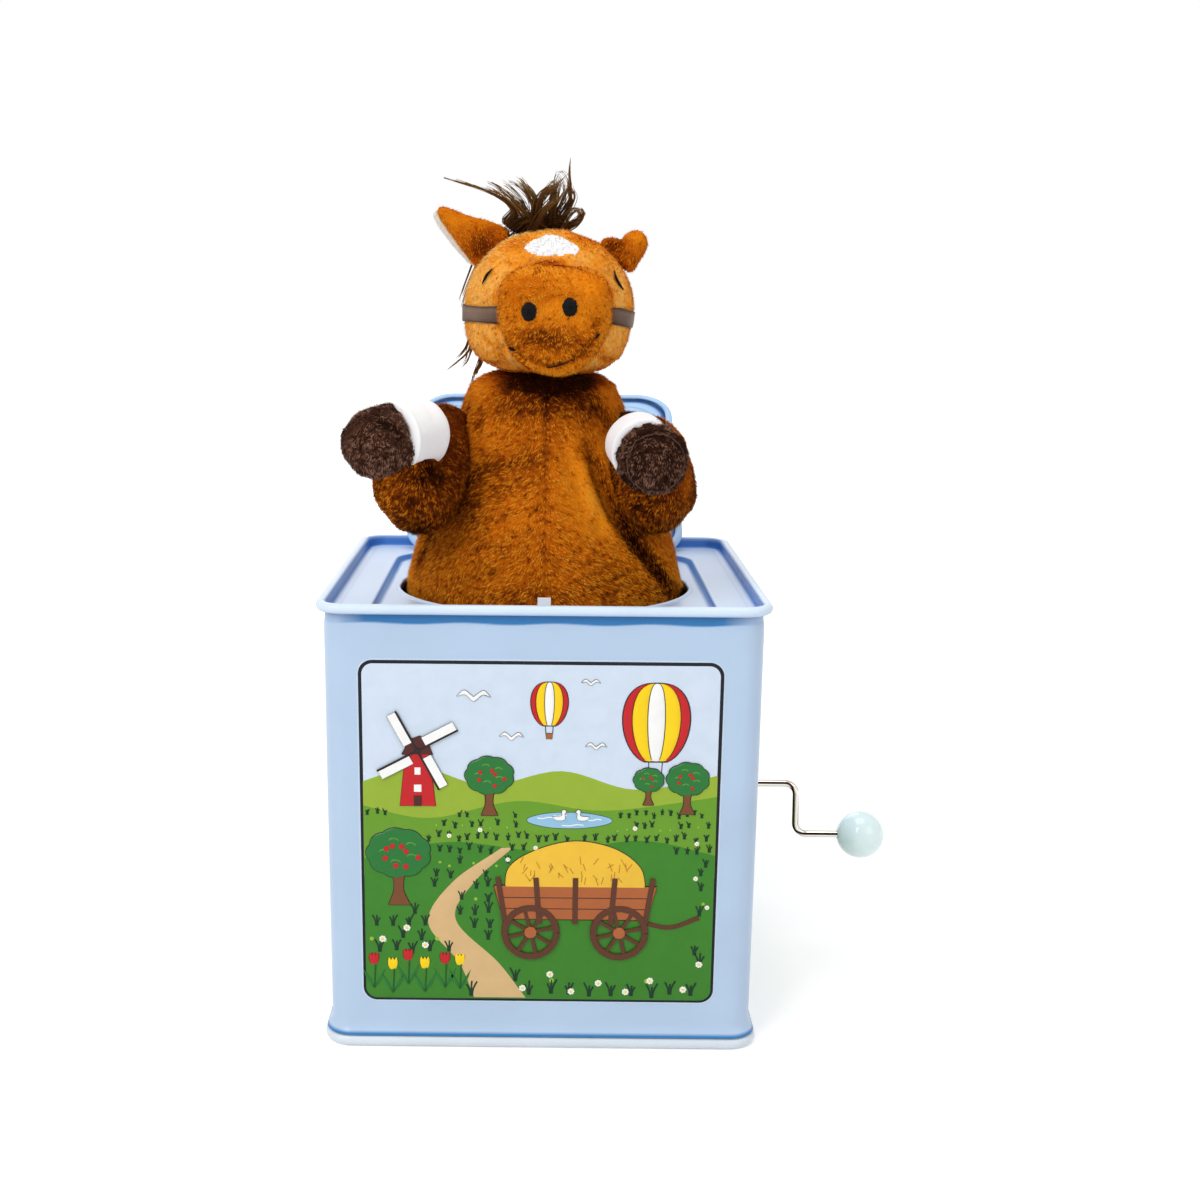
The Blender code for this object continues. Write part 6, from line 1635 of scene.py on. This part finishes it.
def leaf(name, outline, depth, thickness):
    """A stuffed leaf between the two sides of an outline."""
    edge = [at_depth(pixel, depth) for pixel in outline]
    centre = sum(edge, Vector()) / len(edge)
    dense = smooth_path(edge + edge[:1], 7)[:-1]
    front = Vector((0, -1, 0))
    rings = []
    for cosine, sine in arc(0, 180, 14):
        scale = max(0.02, sine ** 0.5)
        ring = [centre + (point - centre) * scale + front * cosine * thickness * MM for point in dense]
        rings.append([place + front * 0.5 * noise.noise(place / MM * 0.16) * MM for place in ring])
    return mesh_of(name, loft(rings, caps=BOTH_ENDS))


def make_ears():
    lining = leaf("ear_lining_left", LEFT_LINING, -7.9, 1.2)
    mesh = coated(lining, (), (3.0, 0.6, 0.25, 60), EAR_BRUSH, 33, (0.7, (), 6.0))
    add_piece("ear_lining_left", mesh, LINING, "puppet", None)
    for name, node, outline, depth, thickness, painted_light_spots, folds in EARS:
        bare = leaf(name, outline, depth, thickness)
        mesh = coated(bare, folds, (3.6, 1.0, 0.28, 62), EAR_BRUSH, 31, (0.66, painted_light_spots, 4.0))
        add_piece(name, mesh, COAT, "puppet", node)


# Hair

HAIR_RADIUS = 0.16 * MM
BROWN, DARK = (0.06, 0.7), (0.0, 0.35)
# Pixels along each lock, depth, strands, spread at root and tip, seed, wave, shade from root to tip, clumps
FORELOCK = [
    ([(522, 230), (508, 222), (514, 208), (489, 191), (438, 174)], -9, 40, 1.3, 0.4, 1, 0.3, BROWN, 2),
    ([(524, 230), (510, 220), (512, 206), (487, 190), (434, 173)], -9, 26, 0.9, 0.2, 21, 0.2, BROWN, 1),
    ([(528, 230), (516, 211), (496, 192), (470, 183)], -9, 40, 1.6, 1.1, 11, 0.4, BROWN, 4),
    ([(526, 230), (524, 207), (504, 187), (484, 179)], -8, 42, 1.6, 1.3, 2, 0.5, BROWN, 4),
    ([(534, 229), (533, 206), (519, 184), (504, 177)], -10, 54, 1.7, 1.5, 3, 0.5, BROWN, 5),
    ([(538, 229), (537, 206), (527, 190), (516, 184)], -12, 40, 1.7, 1.8, 12, 0.5, BROWN, 5),
    ([(546, 229), (550, 202), (555, 182), (563, 174)], -9, 70, 1.7, 1.3, 4, 0.5, BROWN, 6),
    ([(552, 229), (561, 205), (566, 188), (557, 174), (546, 179)], -8, 12, 1.6, 0.9, 13, 0.5, BROWN, 3),
    ([(556, 229), (568, 206), (570, 190), (569, 172), (570.5, 156)], -8, 12, 0.9, 0.15, 5, 0.2, BROWN, 1),
    ([(558, 229), (571, 205), (568, 190), (566, 178)], -7, 36, 1.5, 0.9, 14, 0.5, BROWN, 4),
    ([(562, 230), (575, 224), (583, 213), (577, 206), (570, 203)], -9, 46, 1.2, 0.7, 6, 0.5, BROWN, 4),
    ([(558, 230), (570, 215), (581, 212), (579, 224)], -10, 16, 1.2, 0.9, 15, 0.5, BROWN, 3),
    ([(536, 229), (541, 200), (552, 188), (560, 184), (566, 180)], -12, 50, 1.6, 1.6, 7, 0.5, BROWN, 6),
    ([(532, 230), (544, 212), (557, 198), (567, 184)], -13, 60, 1.8, 1.6, 8, 0.5, BROWN, 6),
    ([(552, 231), (534, 220), (516, 220), (503, 228)], -10, 64, 1.5, 1.0, 9, 0.4, DARK, 7),
    ([(530, 231), (545, 219), (562, 220), (573, 230)], -10, 64, 1.5, 1.0, 10, 0.4, DARK, 7),
    ([(512, 232), (524, 222), (544, 220), (560, 226)], -12, 64, 1.6, 1.2, 16, 0.4, DARK, 7),
    ([(540, 232), (538, 222), (536, 212), (534, 204)], -9, 70, 2.4, 2.0, 17, 0.4, (0.0, 0.4), 7),
]
FORELOCK_SQUASH = ((0, 0, 1), (0, -0.009, 0.262), 0.35)
# Place on the ridge of the neck and strands
MANE_ROOTS = [
    (0, 2, 263.6, 60), (-4, 10, 260, 60), (-6, 15, 252, 60), (-7, 18, 243, 50), (-8, 18, 234, 34),
    (-8, 16, 226, 16),
]
# Wisps beside the cheek: pixels, strands, spread at the tip and seed
MANE_WISPS = [
    ([(480, 262), (473, 277), (464, 298), (457, 323)], 14, 0.35, 91),
    ([(478, 262), (468, 285), (462, 300), (459, 314)], 11, 0.3, 96),
    ([(482, 262), (474, 285), (467, 302), (466, 330)], 10, 0.3, 97),
    ([(474, 336), (468, 350), (458, 361), (442, 374)], 16, 0.45, 92),
    ([(476, 338), (471, 350), (466, 360), (458, 370)], 12, 0.4, 94),
    ([(481, 356), (478, 366), (473, 376), (465, 391)], 22, 0.7, 93),
    ([(484, 356), (478, 370), (473, 382), (469, 388)], 14, 0.6, 95),
]


def lock(guide, count, spread_root, spread_tip, seed, wave, shade, clumps):
    """Strands, (points, root's shade, tip's shade), in clumps that draw together to tips of their own."""
    rng = np.random.default_rng(seed)
    path = smooth_path(guide, 6)
    strands = []
    for _ in range(clumps):
        clump_tip = Vector(rng.normal(0, spread_tip, 3))
        clump_root = Vector(rng.normal(0, spread_root, 3))
        clump_phase = Vector(rng.uniform(0, 6, 3))
        clump_length = 1.0 if clumps == 1 else rng.uniform(0.68, 1.0)
        for _ in range(max(2, count // clumps)):
            root = (clump_root + Vector(rng.normal(0, spread_root * 0.45, 3))) * MM
            tip = (clump_tip + Vector(rng.normal(0, 0.16 + spread_tip * 0.12, 3))) * MM
            last = max(5, int(len(path) * clump_length * rng.uniform(0.8, 1.0)))
            phase = clump_phase + Vector(rng.normal(0, 0.5, 3))
            points = []
            for index, place in enumerate(path[:last]):
                share = index / (len(path) - 1)
                sway = Vector([math.sin(part + share * 6) * wave * share for part in phase]) * MM
                points.append(place + root * (1 - share) ** 0.9 + tip * share ** 1.2 + sway)
            dark = max(0, shade[0] + rng.uniform(-0.08, 0.16))
            strands.append((points, dark, min(1, shade[1] + rng.uniform(-0.3, 0.2))))
    return strands


def make_hair(name, node, locks, squash=None):
    """Fine tapering tubes, with a tone that runs from each root to its tip."""
    parts, tones = [], []
    for points, root, tip in sum(locks, []):
        shares = [index / (len(points) - 1) for index in range(len(points))]
        parts.append(tube(points, [HAIR_RADIUS * (1 - 0.66 * share ** 1.6) for share in shares], 3))
        tones += [between(root, tip, share ** 0.8) for share in shares for _ in range(3)]
    mesh = mesh_of(name, merged(parts), outward=False)
    set_layer(mesh, "pile", tones)
    add_piece(name, mesh, HAIR, "puppet", node, squash=squash)


def guide(pixels, depth):
    return [at_depth(pixel, depth) for pixel in pixels]


def make_forelock():
    locks = [lock(guide(pixels, depth), *values) for pixels, depth, *values in FORELOCK]
    make_hair("forelock_strands", "forelock", locks, FORELOCK_SQUASH)


def make_mane():
    """Locks fall to both sides of the neck's ridge, longer towards the back."""
    locks = []
    for index, (*root, count) in enumerate(MANE_ROOTS):
        fall = 14 + 2.4 * index
        for side in (-1, 1):
            path = [(Vector(root) + Vector(away)) * MM for away in (
                (0, 0, 0), (3.4 * side, 3.4, -fall * 0.2), (5.2 * side, 5.0 - 0.4 * index, -fall * 0.6),
                (5.6 * side - 1.0, 4.2 - 0.7 * index, -fall),
            )]
            locks.append(lock(path, count, 1.8, 1.8, 60 + index * 2 + side, 0.6, (0.08, 0.6), 6))
    for pixels, count, spread, seed in MANE_WISPS:
        locks.append(lock(guide(pixels, 2), count, 0.7, spread, seed, 0.3, (0.25, 0.8), 2))
    make_hair("mane_strands", "mane", locks)


# Arms: stations are a pixel, a depth and a radius, ends of socks and hooves a pixel and a depth

LIMB_SQUASH = {
    "left": ((-0.77, -0.64, 0), (0.0, -0.006, 0.19), 0.5),
    "right": ((0.55, -0.83, 0), (0.0, -0.006, 0.19), 0.5),
}
# Side, stations, tone's base, low as painted shade on the arms, and spots of painted light and shade, seed
# and folds
ARMS = [
    ("left", [((458, 420), -12, 6), ((446, 430), -16, 9.2), ((436, 449), -22, 12.0),
              ((428, 472), -29, 12.9), ((420, 493), -36, 12.8), ((413, 489), -43, 11.8),
              ((406, 470), -47, 11.0), ((402, 452), -48, 10.2)],
     0.32, [(388, 490, 12, 22, 0.14), (436, 428, 8, 16, 0.12), (425, 478, 14, 10, -0.16),
            (420, 528, 30, 10, -0.18), (440, 480, 10, 24, -0.06), (396, 460, 20, 8, -0.14)],
     41, [([(422, 462), (434, 474), (444, 486)], 1.3, 1.8, 0.20),
          ([(408, 494), (416, 510), (420, 530)], 0.7, 1.6, 0.10)]),
    ("right", [((614, 432), -12, 6), ((630, 438), -16, 9.0), ((644, 451), -22, 12.6),
               ((650, 472), -29, 13.8), ((655, 492), -36, 12.8), ((657, 490), -43, 12.0),
               ((654, 474), -47, 11.4), ((650, 458), -48, 10.6)],
     0.29, [(688, 480, 8, 26, 0.22), (660, 528, 30, 8, -0.10), (676, 430, 8, 14, 0.16),
            (614, 470, 8, 24, -0.14), (640, 508, 16, 12, -0.14), (668, 508, 14, 10, 0.06)],
     42, [([(628, 500), (642, 512), (656, 520)], 0.8, 1.6, 0.14)]),
]
# Side, start, end, radius and the round share of the start
SOCKS = [
    ("left", ((434, 430.5), -41), ((392, 438), -55), 10.6, 0.22),
    ("right", ((635, 441), -41), ((645, 453), -56), 10.2, 0.2),
]
RIGHT_HOOF = ((646, 454), -48), ((657, 464), -69)
# Side, the values of capped, lumps, tone's base, seed and folds
HOOVES = [
    ("left", (((402, 438), -49), ((351, 448), -65), 10.9, 0.2, 0.62, 2.3, 20), 0.7, 0.52, 44,
     [([(372, 420), (392, 428), (404, 442)], 0.9, 1.3, 0.22),
      ([(352, 440), (370, 450), (384, 468)], 0.6, 1.2, 0.14)]),
    ("right", (*RIGHT_HOOF, 10.6, 0.2, 0.42, 2.8, 20), 0.6, 0.38, 45, []),
]


def capped(start, end, radius, start_round, end_round, power=2.0, count=16):
    """Stations of a straight limb with round ends, from one (pixel, depth) to another."""
    made = []
    for index in range(count):
        share = 0.5 - 0.5 * math.cos(math.pi * index / (count - 1))
        inward = min(1.0, share / start_round, (1 - share) / end_round)
        wide = (1 - (1 - inward) ** power) ** (1 / power)
        pixel = [between(a, b, share) for a, b in zip(start[0], end[0])]
        made.append((pixel, between(start[1], end[1], share), max(0.25, wide * radius)))
    return made


def stuffed(name, stations, lumps=1.0, curls=0.0):
    """A round limb through its stations, with the swells of its stuffing and the curls of a shaggy cloth."""
    points = smooth_path([at_depth(pixel, depth) / MM for pixel, depth, _ in stations], 9)
    radii = [max(0.3, place.x) for place in smooth_path([(radius, 0, 0) for _, _, radius in stations], 9)]
    rings = []
    for (point, side, up), radius in zip(frames_along(points), radii):
        ring = []
        for turn in round_turn(84):
            out = side * math.cos(turn) + up * math.sin(turn)
            place = point + out * radius
            curl = 0.35 - abs(noise.noise(place * 0.30 + Vector((3, 1, 7)))) * 2.4
            swell = ripple(place, 0.12, 1.1, 0.33, 0.45) + curls * curl
            ring.append((place + out * swell * lumps * min(1, radius / 8)) * MM)
        rings.append(ring)
    return mesh_of(name, loft(rings, caps=BOTH_ENDS))


def add_limb(name, mesh, skin, node, side):
    add_piece(name, mesh, skin, "puppet", node, squash=LIMB_SQUASH[side])


def make_limbs():
    for side, stations, base, painted_light_spots, seed, folds in ARMS:
        bare = stuffed("coat_arm_" + side, stations)
        tone = (base, painted_light_spots, seed * 0.3)
        mesh = coated(bare, folds, (3.2, 1.25, 0.30, 64), brushed(0.7, 35), seed, tone, 1.15)
        add_limb("coat_arm_" + side, mesh, COAT, "arm_" + side, side)
    for side, start, end, radius, start_round in SOCKS:
        mesh = stuffed("sock_cuff_" + side, capped(start, end, radius, start_round, 0.1), 0.3)
        add_limb("sock_cuff_" + side, mesh, SOCK, "sock_" + side, side)
    for side, cap, lumps, base, seed, folds in HOOVES:
        bare = stuffed("hoof_pile_" + side, capped(*cap), lumps, 1.5)
        tone = (base, (), seed * 0.3)
        mesh = coated(bare, folds, (5.2, 1.15, 0.27, 58), brushed(0.7, 130), seed, tone, 1.5)
        add_limb("hoof_pile_" + side, mesh, HOOF, "hoof_" + side, side)
    make_seam(surface_tree(mesh))


def make_seam(tree):
    """The piping round the right hoof's sole."""
    start, end = (at_depth(*place) for place in RIGHT_HOOF)
    axis = (end - start).normalized()
    centre = end - axis * 2.6 * MM
    side = axis.cross(Vector((0, 0, 1))).normalized()
    up = side.cross(axis).normalized()
    places = []
    for point in ring_round(centre, side, up, 8.9 * MM, 72):
        hit = tree.find_nearest(point + axis * 0.5 * MM)[0]
        places.append(hit + (hit - centre).normalized() * 0.12 * MM)
    rings = []
    for before, place, after in zip(places[-1:] + places, places, places[1:] + places[:1]):
        out = (place - centre).normalized()
        over = (after - before).normalized().cross(out).normalized()
        rings.append(ring_round(place, out, over, 0.18 * MM, 8))
    mesh = mesh_of("hoof_seam_right", loft(rings, close_along=True))
    set_layer(mesh, "pile", [0.5 + 0.3 * math.sin(index * 0.9) for index in range(len(mesh.vertices))])
    add_piece(
        "hoof_seam_right", mesh, PIPING, "puppet", squash=LIMB_SQUASH["right"],
    )


def make_horse():
    make_body()
    head, muzzle = make_head(), make_muzzle()
    face = surface_tree(head, muzzle)
    for name, values in STITCHES.items():
        stitched(name, face, *values)
    make_nostril("nostril_left", face, (529, 311.8), 2.65)
    make_nostril("nostril_right", face, (570, 307.2), 2.6)
    make_halter(surface_tree(head))
    make_ears()
    make_forelock()
    make_mane()
    make_limbs()


# Carried-over solids

SOLID_SKINS = [
    (STEEL, (
        "hinge_pin", "crank_collar", "movement_frame", "drum_arbor", "comb", "arbor_clip", "comb_screw_1",
        "comb_screw_2", "frame_screw_1", "frame_screw_2", "rock_shaft", "hanger_left", "hanger_right",
        "catch_spring", "spring_seat", "seat_rivet_1", "seat_rivet_2", "seat_rivet_3", "hem_ring",
    )),
    (BRASS, ("music_drum",)),
    (NYLON, ("crank_bush", "worm", "worm_wheel", "trip_cam", "head_disc")),
    (PALE, ("latch_hook", "trip_arm")),
    (LUG, ("hinge_lug_left", "hinge_lug_right")),
]


def dress_solids():
    for skin, names in SOLID_SKINS:
        for name in names:
            for slot in bpy.data.objects[name].material_slots:
                slot.material = skin


# Studio

WHITE = (1, 1, 1, 1)
# Name, place, aim, size and power
LAMPS = [
    ("key", (-0.9, -1.1, 1.3), (0, 0, 0.12), 0.9, 15), ("fill", (1.1, -1.0, 0.9), (0, 0, 0.12), 0.9, 4),
    ("top", (0.0, 0.0, 1.6), (0, 0, 0.1), 1.0, 7), ("rear", (-0.2, 1.3, 1.0), (0, 0, 0.15), 0.9, 3),
]


def make_world():
    """A soft even light, which the camera and mirrors see as plain white."""
    world = bpy.data.worlds.new("studio")
    bpy.context.scene.world = world
    world.use_nodes = True
    tree = Nodes(world.node_tree)
    soft = tree.nodes["Background"]
    set_inputs(soft, {"Color": WHITE, "Strength": 0.40})
    white = tree.add("Background", {"Color": WHITE, "Strength": 1.0})
    ray = tree.add("LightPath").outputs
    seen = tree.sum("MAXIMUM", ray["Is Camera Ray"], ray["Is Glossy Ray"])
    seen = tree.sum("MAXIMUM", seen, ray["Is Transmission Ray"])
    blend = tree.add("MixShader", {}, {
        "Fac": seen, 1: soft.outputs["Background"], 2: white.outputs["Background"],
    })
    tree.links.new(blend.outputs["Shader"], tree.nodes["World Output"].inputs["Surface"])


def make_floor():
    """A white floor that glows to the camera, less so near the box, where its shadow shows."""
    skin = Skin("floor_white", 0.9, gloss=0.0)
    set_inputs(skin.shader, {"Base Color": (0.93, 0.93, 0.93, 1), "Emission Color": WHITE})
    ray = skin.add("LightPath").outputs
    seen = skin.sum("MAXIMUM", ray["Is Camera Ray"], ray["Is Glossy Ray"])
    place = skin.add("TexCoord").outputs["Object"]
    reach = skin.add("VectorMath", {}, {0: place}, operation="LENGTH").outputs["Value"]
    spread = {"From Min": 0.3, "From Max": 0.9, "To Min": 0.34, "To Max": 0.9}
    glow = skin.add("MapRange", spread, {"Value": reach}).outputs["Result"]
    skin.links.new(skin.sum("MULTIPLY", seen, glow), skin.shader.inputs["Emission Strength"])
    mesh = bpy.data.meshes.new("floor")
    mesh.from_pydata([(-6, -6, 0), (6, -6, 0), (6, 6, 0), (-6, 6, 0)], [], [(0, 1, 2, 3)])
    mesh.materials.append(skin.material)
    floor = new_object("floor", mesh)
    floor.location.z = -0.0002


def make_lamps():
    for name, place, aim, size, power in LAMPS:
        data = bpy.data.lights.new(name, "AREA")
        data.shape = "SQUARE"
        data.size = size
        data.energy = power
        turned = (Vector(place) - Vector(aim)).to_track_quat("Z", "Y").to_matrix().to_4x4()
        new_object(name, data).matrix_world = Matrix.Translation(place) @ turned


make_camera()
make_tin_body()
make_top()
make_base()
make_lid()
make_front_panel()
for values in OTHER_PANELS:
    make_other_panel(*values)
make_crank()
make_spring()
make_horse()
dress_solids()
make_world()
make_floor()
make_lamps()
bpy.context.scene.view_settings.view_transform = "Standard"
